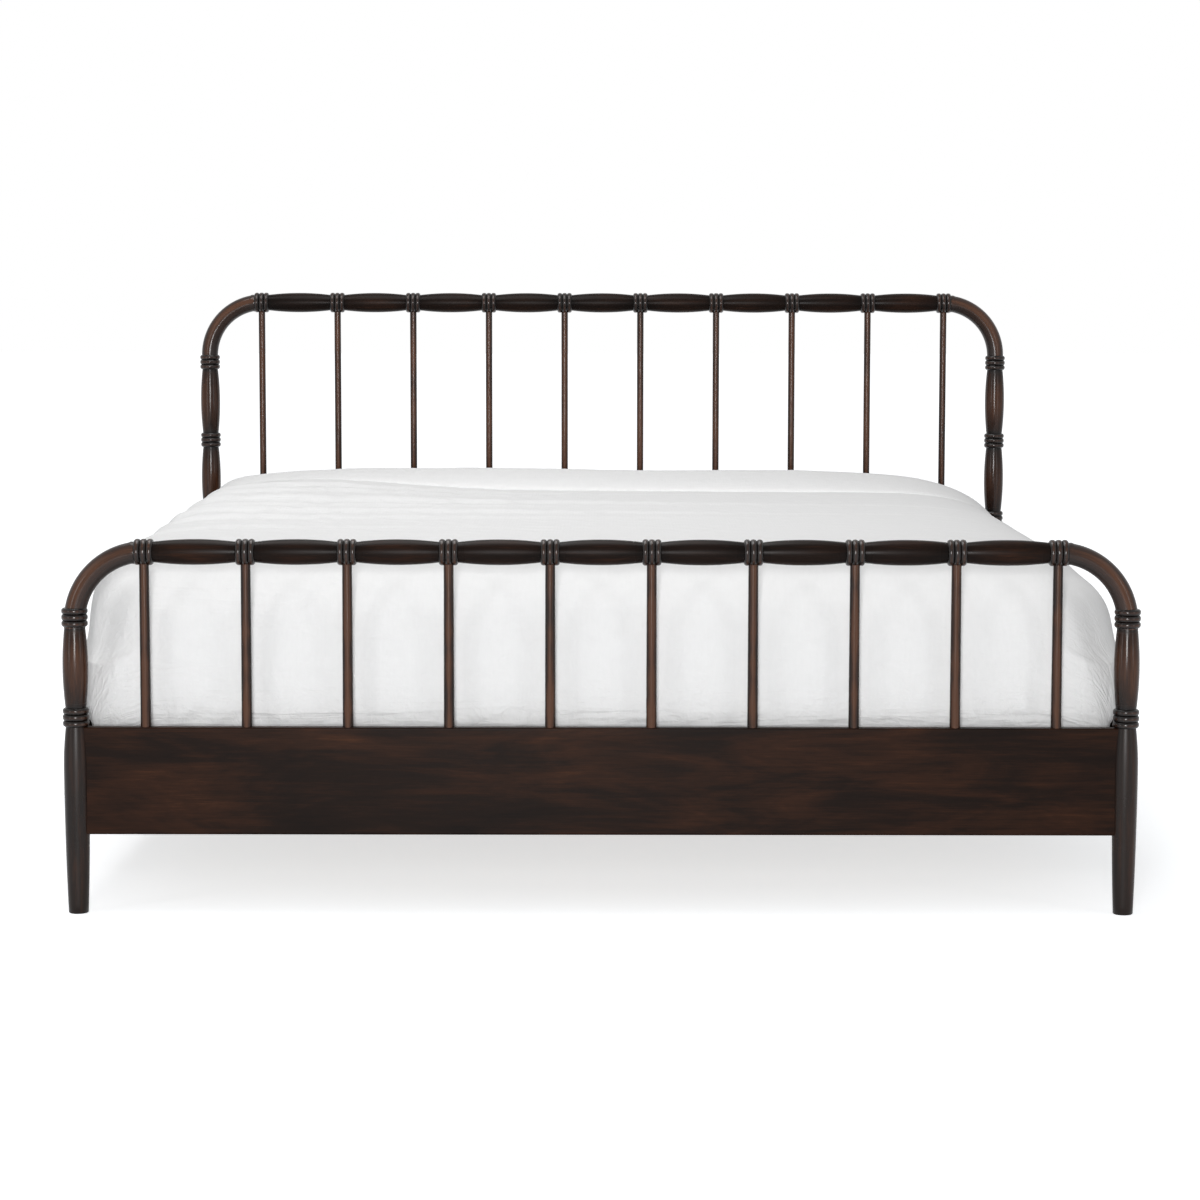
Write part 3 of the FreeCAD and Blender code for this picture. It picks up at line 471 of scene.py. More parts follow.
# %% Top rails and spindles
SPINDLES = 10
SPINDLE_PITCH = (HALF_SPAN - ELBOW_BEND) * 2 / (SPINDLES - 1)
SPINDLE_SINK, SPINDLE_REACH = 0.0247, 0.0063
RAIL_RUB, RAIL_STAIN = 0.45, 0.92
# Round each spindle a highlight is painted down the front and back, and shade on the sides.
SPINDLE_RUB, SPINDLE_PAINTED_SHADING, SPINDLE_PAINTED_HIGHLIGHT = 0.45, 0.9, 1.1
SPINDLE_RINGS, SPINDLE_UNEVEN = 13, (-0.7, 0.5)


def rail_profile():
    """Bead groups at the spindle pitch, with a swell after every group but the last. Rails took more stain."""
    starts = SPINDLE_PITCH * np.arange(SPINDLES)
    parts = []
    for start in starts[:-1]:
        station, radius, rubbed, plain = swell(start + GROUP, start + SPINDLE_PITCH)
        parts += [bead_group(start), np.stack([station, radius, rubbed * RAIL_RUB - RAIL_STAIN, plain])]
    return joined_profile(*parts, bead_group(starts[-1]))


def spindle_painted_light(angle):
    """Painted highlight down the front and back of a spindle, brightest along the middle, and painted shade on its
    sides: S * (2 sin^2 a - 1) + M sin^16 a."""
    return SPINDLE_PAINTED_SHADING * (2 * np.sin(angle) ** 2 - 1) + SPINDLE_PAINTED_HIGHLIGHT * np.sin(angle) ** 16


for board_name, board in BOARDS.items():
    first = -SPINDLE_PITCH * (SPINDLES - 1) / 2
    add_straight_piece(f"{board_name}_top_rail", (first - GROUP / 2, board["y"], board["rail"]), (1, 0, 0),
                       (0, 1, 0), rail_profile(), finish=rail_wood)
    bottom, top = board["panel"] - SPINDLE_SINK, board["rail"] - SPINDLE_REACH
    station = np.linspace(0, top - bottom, SPINDLE_RINGS)
    for number in range(SPINDLES):
        rubbed = SPINDLE_RUB + draw.uniform(*SPINDLE_UNEVEN, SPINDLE_RINGS)
        profile = np.stack([station, np.linspace(*board["spindle"], SPINDLE_RINGS), rubbed, np.zeros_like(station)])
        add_straight_piece(f"{board_name}_spindle_{number + 1:02d}",
                           (first + SPINDLE_PITCH * number, board["y"], bottom), (0, 0, 1), (1, 0, 0), profile,
                           sides=SLIM_SIDES, around=spindle_painted_light)
print("two turned rails and", 2 * SPINDLES, "spindles")

# %% [markdown]
# The elbows are bent, not turned, so their section stays round and even. A low collar marks where each one meets the
# rail's beads. The line is a quarter circle with a short straight stretch at its foot, which stands in the post's
# beads.

# %% Elbows
ELBOW_RADIUS, COLLAR_RISE, COLLAR_WIDTH, ELBOW_SINK = 0.0208, 0.0014, 0.0065, 0.0120
# Round each elbow a highlight is painted along the outer shoulder of the bend.
ELBOW_PAINTED_HIGHLIGHT, ELBOW_STAIN, ELBOW_HIGHLIGHT_PLACE, ELBOW_HIGHLIGHT_SPREAD, ELBOW_RUB = 1.9, 1.0, 0.3, 0.5, 0.8


def elbow_painted_highlight(angle):
    """A painted highlight along the outer shoulders of a bend, the rest darker: R * exp(-((cos a - C) / W) ** 2) - D.
    """
    return ELBOW_PAINTED_HIGHLIGHT * np.exp(-((np.cos(angle) - ELBOW_HIGHLIGHT_PLACE) / ELBOW_HIGHLIGHT_SPREAD) ** 2) - ELBOW_STAIN


def add_elbow(name, across, board):
    """Circle carried round a quarter bend: the centre is (X + B sin a, Z + B cos a), for a from 0 at the rail to a
    right angle at the post, then straight down. The collar is a half sine on the radius beside the rail's end."""
    angle = np.linspace(0, math.pi / 2, 41)
    foot = np.array([ELBOW_SINK / 2, ELBOW_SINK])
    x = np.concatenate([ELBOW_BEND * np.sin(angle), np.full(2, ELBOW_BEND)]) + HALF_SPAN - ELBOW_BEND
    z = np.concatenate([ELBOW_BEND * np.cos(angle), -foot]) + board["rail"] - ELBOW_BEND
    bend = np.concatenate([angle, np.full(2, math.pi / 2)])
    centres = np.stack([x * across, np.full_like(x, board["y"]), z], axis=-1)
    outward = np.stack([np.sin(bend) * across, np.zeros_like(bend), np.cos(bend)], axis=-1)
    sideways = np.broadcast_to([0.0, -float(across), 0.0], outward.shape)
    rail_end = SPINDLE_PITCH * (SPINDLES - 1) / 2 + GROUP / 2
    share = np.clip((x - rail_end) / COLLAR_WIDTH, 0, 1)
    radii = ELBOW_RADIUS + COLLAR_RISE * np.sin(math.pi * share)
    station = np.concatenate([ELBOW_BEND * angle, ELBOW_BEND * math.pi / 2 + foot])
    rubbed = ELBOW_RUB * np.sin(math.pi * station / station[-1])
    profile = np.stack([station, radii, rubbed, np.zeros_like(station)])
    add_round_piece(name, centres, outward, sideways, profile, around=elbow_painted_highlight, finish=polished_wood)


for board_name, board in BOARDS.items():
    for side, across in (("left", -1), ("right", 1)):
        add_elbow(f"{board_name}_elbow_{side}", across, board)
print("four elbows")

# %% [markdown]
# Bedding cloth is white cotton. At a step away it reads as a soft white with faint creases, and close up as a plain
# weave. The weave is two crossed waves on the cloth's own coordinates, 7 mm long and hardly raised, and a soft noise
# stands for the small creases that ironing leaves. Where a mesh attribute says that the cloth is gathered, longer
# wrinkles and the creases stand higher. The mattress ticking is the same idea in a warmer white.

# %% Cotton
WEAVE_SCALE = 45.0
BRIGHTER = 1.03


def cotton(name, colour, crease_depth):
    """White woven cloth: crossed thread waves, long wrinkles and small creases, all read from the weave coordinates.
    The gather attribute says where the cloth is crumpled more."""
    material, tree, shader = new_material(name, Roughness=0.88, Specular_IOR_Level=0.25, Sheen_Weight=0.12,
                                          Sheen_Roughness=0.5)
    place, gather = attribute_of(tree, "weave", "Vector"), attribute_of(tree, "gather", "Fac")
    warp, weft = (add_node(tree, "TexWave", {"bands_direction": way}, Vector=place, Scale=WEAVE_SCALE).outputs["Fac"]
                  for way in "XY")
    wrinkles = stretched_noise(tree, place, (3.0, 30.0, 3.0), 3.0, 0.50, 1.1)
    creases = stretched_noise(tree, place, (26.0, 30.0, 26.0), 5.0, 0.55, 0.9)
    slubs = stretched_noise(tree, place, (160.0, 30.0, 30.0), 3.0, 0.6)
    paler = tuple(min(1.0, c * BRIGHTER) for c in colour)
    # The colour is a little paler where the crease noise stands high and darker in its hollows, a faint painted shade,
    # and slubs vary it as yarn does.
    uneven = weighted(tree, (creases, 0.5), (slubs, 0.5))
    tree.links.new(colour_ramp(tree, uneven, ((0.35, colour), (0.65, paler))), shader.inputs["Base Color"])
    crumple = add_node(tree, "Math", {"operation": "MULTIPLY"}, i0=gather,
                       i1=weighted(tree, (wrinkles, 1.2), (creases, 0.8)))
    relief = weighted(tree, (warp, 0.02), (weft, 0.02), (creases, 0.35), (crumple.outputs[0], 1.6))
    bump_from(tree, shader, relief, 0.35, crease_depth)
    return material


duvet_cotton = cotton("duvet_cotton", (0.80, 0.80, 0.80), 0.006)
ticking = cotton("mattress_ticking", (0.76, 0.74, 0.70), 0.004)
print("two cottons")

# %% [markdown]
# Bedding is drawn as a plan with rounded corners, a section from hem to top, and a lining inside. The plan is a
# square grid whose corner squares are pushed in to quarter circles. Along the plan's edge the grid goes on as a
# skirt. The skirt's columns start at the plan's own edge points, so no seam has to be welded.

# %% Plan grid


def rounded_plan(xs, ys, corner, round_head):
    """Grid of plan points with rounded corners, and the outward direction at each.

    In a corner square, with a and b from 0 to 1 away from its inner corner, the point moves to
    (a sqrt(1 - b b / 2), b sqrt(1 - a a / 2)), which carries the square to a quarter disc.
    """
    x, y = np.meshgrid(xs, ys)
    from_side = np.clip((np.abs(x) - (xs[-1] - corner)) / corner, 0, 1)
    from_foot = np.clip((ys[0] + corner - y) / corner, 0, 1)
    from_head = np.clip((y - (ys[-1] - corner)) / corner, 0, 1) * (1.0 if round_head else 0.0)
    end = from_foot + from_head
    a, b = from_side * np.sqrt(1 - end ** 2 / 2), end * np.sqrt(1 - from_side ** 2 / 2)
    in_corner = (from_side > 0) & (end > 0)
    way = np.where(from_foot > 0, -1.0, 1.0)
    x = np.where(in_corner, np.sign(x) * (xs[-1] - corner + corner * a), x)
    y = np.where(in_corner, np.where(way < 0, ys[0] + corner - corner * b, ys[-1] - corner + corner * b), y)
    outward = np.stack([np.sign(x) * np.where(in_corner, a, from_side), way * np.where(in_corner, b, end)], axis=-1)
    on_edge = np.stack([np.sign(x) * (from_side >= 1), way * (end >= 1)], axis=-1).astype(float)
    outward = np.where(in_corner[..., None], outward, on_edge)
    length = np.linalg.norm(outward, axis=-1, keepdims=True)
    return np.stack([x, y], axis=-1), outward / np.maximum(length, 1e-9)


def plan_edge(rows, columns, closed):
    """Numbers of the plan's edge points, anticlockwise from the left end of the head: down the left side, along the
    foot, up the right side, and back along the head where the plan is closed."""
    index = np.arange(rows * columns).reshape(rows, columns)
    edge = [index[::-1, 0], index[0, 1:], index[1:, -1]]
    if closed:
        edge.append(index[-1, -2::-1])
    return np.concatenate(edge)


print("plan helpers ready")

# %% [markdown]
# Cloth settles in a short simulation. The sheet starts in the shape it was drawn, and where it is slack it grows a
# little, so the spare cloth has to lie in wrinkles. Pinned points hold the hem and the sewn places, weakly held ones
# stand for cloth that rests on a filling, a light pressure stands for the filling's own push, and the cap keeps every
# point close to where it was drawn.

# %% Cloth
CLOTH_FRAMES, WEIGHT_STEPS = 24, 50
TINY = 1e-9


def weight_group(piece, name, weights):
    """Vertex group with one weight per point, in steps of a fiftieth."""
    group = piece.vertex_groups.new(name=name)
    steps = np.round(weights * WEIGHT_STEPS) / WEIGHT_STEPS
    for weight in np.unique(steps[steps > 0]):
        group.add(np.flatnonzero(steps == weight).tolist(), float(weight), "REPLACE")
    return group.name


def settled(name, points, quads, slack, grow, pins, pressure, stiffness, cap):
    """Where the points lie after the cloth run: the drawn place plus the settled move, cut to the cap's length.
    Where slack is one the cloth grows by the share called grow, and where it is zero it keeps its size."""
    cloth_piece = new_object(name, points.tolist(), quads.tolist())
    cloth = cloth_piece.modifiers.new("cloth", "CLOTH")
    settings = cloth.settings
    settings.quality = 8
    settings.mass = 0.25
    settings.air_damping = 2.0
    settings.tension_stiffness = settings.compression_stiffness = stiffness
    settings.shear_stiffness = stiffness * 0.3
    settings.bending_stiffness = 0.6
    settings.vertex_group_mass = weight_group(cloth_piece, "held", pins)
    settings.vertex_group_shrink = weight_group(cloth_piece, "taut", 1 - slack)
    settings.shrink_max, settings.shrink_min = 0.0, -grow
    settings.use_pressure = True
    settings.uniform_pressure_force = pressure
    settings.effector_weights.gravity = 0.0
    cloth.collision_settings.use_collision = False
    cloth.point_cache.frame_start, cloth.point_cache.frame_end = 1, CLOTH_FRAMES
    for number in range(1, CLOTH_FRAMES + 1):
        scene.frame_set(number)
    shown = cloth_piece.evaluated_get(bpy.context.evaluated_depsgraph_get()).to_mesh()
    found = np.empty(len(points) * 3, np.float32)
    shown.vertices.foreach_get("co", found)
    bpy.data.objects.remove(cloth_piece)
    scene.frame_set(1)
    move = found.reshape(-1, 3) - points
    length = np.linalg.norm(move, axis=1, keepdims=True)
    print(name, "moved", (length.mean() * 1000).round(1), "mm on average,", (length.max() * 1000).round(1), "most")
    return points + move * np.minimum(1.0, cap / np.maximum(length, TINY))


def weave_attribute(piece, places, gather=None):
    """Cloth coordinates in metres, one per point, for the weave, and the share of crumpling where it is given."""
    keep_on_points(piece, "weave", np.column_stack([places, np.zeros(len(places))]))
    if gather is not None:
        keep_on_points(piece, "gather", gather)


def finer(piece):
    """One level of subdivision, the same on screen and in the picture."""
    smooth = piece.modifiers.new("smooth", "SUBSURF")
    smooth.levels = smooth.render_levels = 1


print("a cloth run takes", CLOTH_FRAMES, "frames")

# %% [markdown]
# A mattress is a crowned pad: a quilted top held down by rows of tufts, a drawn-in border, and a corded edge above
# and below it. The plan and its skirt give the form, and the cloth run swells the quilting between the tufts. The
# underside rests on the slats and stays flat.

# %% Mattress
MATTRESS_HALF_WIDTH, MATTRESS_FOOT, MATTRESS_HEAD, MATTRESS_CORNER = 0.965, -1.0125, 1.0175, 0.09
MATTRESS_EDGE, MATTRESS_TOP, MATTRESS_UNDER, MATTRESS_LIMIT = 0.018, 0.5885, 0.2950, 0.6015
CROWN_RISE, CROWN_RUN = 0.0050, 0.10
TUFT_PITCH, TUFT_HALF_WIDTH, TUFT_MARGIN, TUFT_DEPTH = 0.19, 0.0165, 0.09, 0.008
TICKING_SLANT = 0.7
BORDER = np.array([
    (0.0070, 0.5885), (0.0120, 0.5872), (0.0162, 0.5868), (0.0180, 0.5838), (0.0162, 0.5808), (0.0122, 0.5800),
    (0.0105, 0.5600), (0.0086, 0.5200), (0.0080, 0.4800), (0.0078, 0.4475), (0.0080, 0.4150), (0.0086, 0.3750),
    (0.0105, 0.3350), (0.0122, 0.3150), (0.0162, 0.3142), (0.0180, 0.3112), (0.0162, 0.3082), (0.0120, 0.3078),
    (0.0070, 0.3000), (0.0000, 0.2965)])


def skirt(edge_points, edge_outward, section):
    """Rows below a plan's edge: the edge point moved outward by the first number of each section row, at the height
    that the second number gives."""
    plan = edge_points[None] + section[:, :1, None] * edge_outward[None]
    height = np.broadcast_to(section[:, 1, None, None], plan.shape[:2] + (1,))
    return np.concatenate([plan, height], axis=-1)


xs = np.linspace(-1, 1, 62) * (MATTRESS_HALF_WIDTH - MATTRESS_EDGE)
ys = np.linspace(MATTRESS_FOOT + MATTRESS_EDGE, MATTRESS_HEAD - MATTRESS_EDGE, 65)
plan, outward = rounded_plan(xs, ys, MATTRESS_CORNER - MATTRESS_EDGE, True)
edge = plan_edge(len(ys), len(xs), True)[:-1]
flat_plan, flat_outward = plan.reshape(-1, 2), outward.reshape(-1, 2)
rise = np.minimum(MATTRESS_HALF_WIDTH - np.abs(flat_plan[:, 0]),
                  np.minimum(flat_plan[:, 1] - MATTRESS_FOOT, MATTRESS_HEAD - flat_plan[:, 1]))
top_height = MATTRESS_TOP + CROWN_RISE * (1 - np.exp(-rise / CROWN_RUN))
top_points = np.column_stack([flat_plan, top_height])
side_points = skirt(flat_plan[edge], flat_outward[edge], BORDER)
under_points = np.column_stack([flat_plan, np.full(len(flat_plan), MATTRESS_UNDER)])
count = len(top_points)
side_index = count + np.arange(side_points[:, :, 0].size).reshape(side_points.shape[:2])
loop = np.vstack([edge, side_index, count + side_index.size + edge])
loop = np.concatenate([loop, loop[:, :1]], axis=1)
top_quads = grid_quads(np.arange(count).reshape(len(ys), len(xs)))
under_quads = top_quads[:, ::-1] + count + side_index.size
mattress_points = np.concatenate([top_points, side_points.reshape(-1, 3), under_points])
mattress_quads = np.concatenate([top_quads, grid_quads(loop)[:, ::-1], under_quads])
from_tuft = np.abs((flat_plan / TUFT_PITCH + 0.5) % 1 - 0.5) * TUFT_PITCH
tuft = (from_tuft < TUFT_HALF_WIDTH).all(axis=1) & (rise > TUFT_MARGIN)
pins = np.zeros(len(mattress_points))
pins[count:] = 1.0
pins[:count][tuft] = 1.0
drawn = mattress_points.copy()
drawn[:count][tuft, 2] -= TUFT_DEPTH
slack = np.where(np.arange(len(mattress_points)) < count, 1.0, 0.0)
swollen = settled("mattress_cloth", drawn, mattress_quads, slack, grow=0.004, pins=pins, pressure=3.0,
                  stiffness=12.0, cap=0.012)
swollen[:count, 2] = np.minimum(swollen[:count, 2], MATTRESS_LIMIT)
mattress = add_piece("mattress_quilted", swollen, mattress_quads.tolist(), ticking, "mattress",
                     ["mattress"])
weave_attribute(mattress, mattress_points[:, :2] + mattress_points[:, 2:] * TICKING_SLANT)
finer(mattress)
print("mattress of", len(mattress_quads), "quads,", int(tuft.sum()), "tufted points")

# %% [markdown]
# The duvet lies over the mattress and hangs down three sides. Its top is nearly flat and rounds over to the sides in
# a long soft shoulder. It lies fuller toward the head and on the left, so the shoulder's reach changes from place to
# place. These functions give the height of the top anywhere on the plan.

# %% Duvet shoulder
DUVET_HALF_WIDTH, DUVET_FOOT, DUVET_HEAD, DUVET_CORNER, SHOULDER_CORNER = 1.0200, -1.0335, 1.0095, 0.090, 0.170
DUVET_TOP, SHOULDER_DROP, SHOULDER_POWER, CORNER_SLOPE = 0.712, 0.190, 2.7, 1.4
FOOT_REACH, LEFT_REACH, RIGHT_REACH = 0.50, (0.26, 0.23, 0.13), (0.80, 0.46, 0.40)
REACH_PLACES = (0, 0.25, 1)
LEAST_INSET = 1e-4
MOUND_HEIGHT, MOUND_X, MOUND_WIDTH, MOUND_START, MOUND_RUN, MOUND_FADE = 0.025, -0.72, 0.30, 0.05, 0.80, 0.08


def shoulder_reach(plan):
    """How far in the shoulder reaches: the foot's reach near the foot, and near a side that side's reach, which has
    one value at the foot, one a quarter of the way up and one at the head."""
    along = np.clip((plan[:, 1] - DUVET_FOOT) / (DUVET_HEAD - DUVET_FOOT), 0, 1)
    left, right = np.interp(along, REACH_PLACES, LEFT_REACH), np.interp(along, REACH_PLACES, RIGHT_REACH)
    side = np.where(plan[:, 0] < 0, left, right)
    from_side = np.maximum(DUVET_HALF_WIDTH - np.abs(plan[:, 0]), LEAST_INSET)
    from_foot = np.maximum(plan[:, 1] - DUVET_FOOT, LEAST_INSET)
    foot_share = from_side ** 2 / (from_side ** 2 + from_foot ** 2)
    return FOOT_REACH * foot_share + side * (1 - foot_share)


def shoulder(inset, reach):
    """Height of the duvet's top at a distance in from its outline: it falls by the drop times
    (1 - sqrt(inset / reach)) to a power, and beyond the outline it falls on at a steady slope."""
    share = np.sqrt(np.clip(inset / reach, 0, 1))
    return DUVET_TOP - SHOULDER_DROP * (1 - share) ** SHOULDER_POWER + CORNER_SLOPE * np.minimum(inset, 0)


def head_fullness(plan):
    """The filling has gathered near the left end of the head: a low mound that fades toward the outline and toward
    the foot, H * exp(-((x - X) / W) ** 2) * (1 - exp(-inset / F)) * (3 t ** 2 - 2 t ** 3), t from 0 to 1 up the bed."""
    from_side = 1 - np.exp(-np.maximum(DUVET_HALF_WIDTH - np.abs(plan[..., 0]), 0) / MOUND_FADE)
    toward_head = np.clip((plan[..., 1] - MOUND_START) / MOUND_RUN, 0, 1)
    across = np.exp(-((plan[..., 0] - MOUND_X) / MOUND_WIDTH) ** 2)
    return MOUND_HEIGHT * across * from_side * toward_head ** 2 * (3 - 2 * toward_head)


def inset_from_outline(plan):
    """Distance in from an outline with well rounded foot corners, which is open at the head."""
    across = np.abs(plan[..., 0]) - (DUVET_HALF_WIDTH - SHOULDER_CORNER)
    down = DUVET_FOOT + SHOULDER_CORNER - plan[..., 1]
    outside = np.hypot(np.maximum(across, 0), np.maximum(down, 0))
    inside = np.minimum(np.maximum(across, down), 0)
    return SHOULDER_CORNER - outside - inside


print("duvet shoulder falls", SHOULDER_DROP, "m")

# %% [markdown]
# The outer sheet is the plan grid and its skirt. The skirt's first rows round over the edge by the shoulder's own
# formula, and the rest fall down the sides and the foot. Toward the hem they tuck in, behind the side rails and the
# foot panel, and at the foot corners the fall narrows to a tighter corner.

# %% Duvet sheet
DUVET_EDGE, HEM_CORNER = 0.060, 0.035
LEAST_STEP, SAME_PLACE = 0.012, 1e-6
ROLL_INSET = np.array([0.74, 0.52, 0.33, 0.18, 0.07, 0.0])
FALL_HEIGHT = np.array([0.498, 0.473, 0.448, 0.426, 0.407, 0.392, 0.381, 0.373, 0.366, 0.350, 0.327, 0.302])
SIDE_TUCK = np.array([0.000, -.001, -.002, -.002, -.001, 0.000, 0.003, 0.009, 0.0185, 0.024, 0.032, 0.040])
FOOT_TUCK = np.array([0.000, 0.000, 0.000, 0.001, 0.002, 0.003, 0.005, 0.007, 0.009, 0.012, 0.016, 0.020])

xs = np.linspace(-1, 1, 92) * (DUVET_HALF_WIDTH - DUVET_EDGE)
ys = np.linspace(DUVET_FOOT + DUVET_EDGE, DUVET_HEAD, 82)
plan, outward = rounded_plan(xs, ys, DUVET_CORNER - DUVET_EDGE, False)
flat_plan, flat_outward = plan.reshape(-1, 2), outward.reshape(-1, 2)
edge = plan_edge(len(ys), len(xs), False)
edge_plan, edge_outward = flat_plan[edge], flat_outward[edge]
top_height = shoulder(inset_from_outline(flat_plan), shoulder_reach(flat_plan)) + head_fullness(flat_plan)
top_points = np.column_stack([flat_plan, top_height])
roll = DUVET_EDGE * (1 - ROLL_INSET)
roll_plan = edge_plan[None] + roll[:, None, None] * edge_outward[None]
roll_height = shoulder(inset_from_outline(roll_plan), shoulder_reach(edge_plan)[None]) + head_fullness(roll_plan)
side_share = edge_outward[:, 0] ** 2
tuck = SIDE_TUCK[:, None] * side_share + FOOT_TUCK[:, None] * (1 - side_share)
at_corner = (np.abs(edge_outward) > SAME_PLACE).all(axis=1, keepdims=True)
corner_middle = np.column_stack([np.sign(edge_plan[:, 0]) * (DUVET_HALF_WIDTH - HEM_CORNER),
                                 np.full(len(edge), DUVET_FOOT + HEM_CORNER)])
outline = edge_plan + DUVET_EDGE * edge_outward
hem_plan = np.where(at_corner, corner_middle + HEM_CORNER * edge_outward, outline)
down = np.linspace(0, 1, len(FALL_HEIGHT))[:, None, None]
fall_plan = (1 - down) * outline[None] + down * hem_plan[None] - tuck[..., None] * edge_outward[None]
row_number = 1 + np.arange(len(FALL_HEIGHT))[:, None]
fall_height = np.minimum(FALL_HEIGHT[:, None], roll_height[-1] - LEAST_STEP * row_number)
side_points = np.concatenate([np.concatenate([roll_plan, fall_plan]),
                              np.concatenate([roll_height, fall_height])[..., None]], axis=-1)
count = len(top_points)
side_index = count + np.arange(side_points[:, :, 0].size).reshape(side_points.shape[:2])
sheet_points = np.concatenate([top_points, side_points.reshape(-1, 3)])
sheet_quads = np.concatenate([grid_quads(np.arange(count).reshape(len(ys), len(xs))),
                              grid_quads(np.vstack([edge, side_index]))[:, ::-1]])
column_steps = np.diff(np.concatenate([top_points[edge][None], side_points]), axis=0)
run_down = np.cumsum(np.linalg.norm(column_steps, axis=-1), axis=0)
side_places = edge_plan[None] + run_down[..., None] * edge_outward[None]
weave_places = np.concatenate([flat_plan, side_places.reshape(-1, 2)])
print("duvet sheet of", len(sheet_quads), "quads")

# %% [markdown]
# A made bed still shows how the duvet was pulled straight: long soft creases lie from the left shoulder across the
# top, and upright pleats gather on the foot face above the tuck. They are drawn into the sheet as low ridges, so the
# cloth run starts from them.

# %% Duvet creases
TOP_CREASES = np.array([  # y at the left edge, lean across the bed, height, half width, length across
    (-0.52, 0.05, 0.0050, 0.050, 0.7), (-0.22, 0.03, 0.0070, 0.042, 0.9), (0.02, -0.05, 0.0110, 0.036, 1.0),
    (0.17, 0.02, 0.0080, 0.032, 0.8), (0.33, -0.06, 0.0130, 0.040, 1.2), (0.52, 0.03, 0.0090, 0.032, 0.7),
    (0.64, -0.02, 0.0100, 0.030, 0.8)])
FOOT_PLEATS = np.array([  # x at the hem, lean with height, depth, half width, reach up from the hem
    (-0.93, 0.9, 0.0060, 0.022, 0.24), (-0.86, 1.0, 0.0060, 0.022, 0.24), (-0.78, 0.8, 0.0030, 0.024, 0.14),
    (0.74, -0.2, 0.0035, 0.030, 0.20), (0.83, -0.3, 0.0065, 0.028, 0.26), (0.91, -0.5, 0.0070, 0.024, 0.20)])
SIDE_CREASE_HEIGHT, SIDE_CREASE_FADE = 0.5, 0.1


def crease_heights(plan):
    """Sum over the creases of height * exp(-((y - line) / half width) ^ 2), fading across the bed as
    exp(-(run / length) ^ 2), where run is the distance from the left edge."""
    run = plan[:, :1] + DUVET_HALF_WIDTH
    start, lean, height, half_width, length = TOP_CREASES.T
    away = (plan[:, 1:] - start - lean * run) / half_width
    return (height * np.exp(-away ** 2) * np.exp(-(run / length) ** 2)).sum(axis=1)


def pleat_depths(x, z):
    """Sum over the pleats of depth * exp(-((x - line) / half width) ^ 2), fading up from the hem."""
    up = (z - FALL_HEIGHT[-1])[:, None]
    start, lean, depth, half_width, reach = FOOT_PLEATS.T
    away = (x[:, None] - start - lean * up) / half_width
    return (depth * np.exp(-away ** 2) * np.exp(-(up / reach) ** 2)).sum(axis=1)


creased = sheet_points.copy()
creased[:count, 2] += crease_heights(flat_plan)
side = creased[count:]
side_way = np.broadcast_to(edge_outward, side_points.shape[:2] + (2,)).reshape(-1, 2)
on_foot = np.clip(-side_way[:, 1], 0, 1)
side[:, 1] += on_foot * pleat_depths(side[:, 0], side[:, 2])
fade = np.clip((side[:, 2] - SIDE_CREASE_HEIGHT) / SIDE_CREASE_FADE, 0, 1)
side[:, 2] += (1 - on_foot) * crease_heights(side[:, :2]) * fade
print("creases up to", (crease_heights(flat_plan).max() * 1000).round(1), "mm")

# %% [markdown]
# The duvet is slack where it was pulled over the left side and where it is tucked in at the foot, so there it lies
# in wrinkles, and the rest of it is nearly taut. The hem and the head end are held, all other points are held weakly,
# and after the run the sheet is kept clear of the rails.

# %% Duvet cloth
FOOT_LIMIT = -1.0372
RAIL_HEIGHTS, WIDTH_LIMITS = (0.367, 0.371, 0.395), (1.0015, 1.008, 1.0320)
WEAK_HOLD, EASE = 0.36, 0.002
LEFT_RUN, HEM_SHARE, HEM_RUN = 0.80, 0.7, 0.16
on_left = np.exp(-((sheet_points[:, 0] + DUVET_HALF_WIDTH) / LEFT_RUN) ** 2)
near_hem = HEM_SHARE * np.exp(-((sheet_points[:, 2] - FALL_HEIGHT[-1]) / HEM_RUN) ** 2)
slack = np.clip(0.15 + 0.85 * np.maximum(on_left, near_hem), 0, 1)
at_head = np.abs(sheet_points[:, 1] - DUVET_HEAD) < SAME_PLACE
pins = np.full(len(sheet_points), WEAK_HOLD)
pins[side_index[-1]] = 1.0
pins[at_head] = 1.0
laid = settled("duvet_cloth", creased, sheet_quads, slack, grow=0.022, pins=pins, pressure=0.03, stiffness=12.0,
               cap=0.018)


def held_below(values, limit):
    """Values eased to stay below a limit: limit - E * log(1 + exp((limit - value) / E))."""
    return limit - EASE * np.logaddexp(0.0, (limit - values) / EASE)


laid[:, 1] = -held_below(-laid[:, 1], -FOOT_LIMIT)
width_limit = np.interp(laid[:, 2], RAIL_HEIGHTS, WIDTH_LIMITS)
laid[:, 0] = np.sign(laid[:, 0]) * held_below(np.abs(laid[:, 0]), width_limit)
print("duvet reaches", laid.min(axis=0).round(3), laid.max(axis=0).round(3))

# %% [markdown]
# The lining repeats the sheet's rows and columns on a smaller rounded box, just outside the mattress. Its top edge is
# a quarter circle, and below that it falls straight to the sheet's hem.

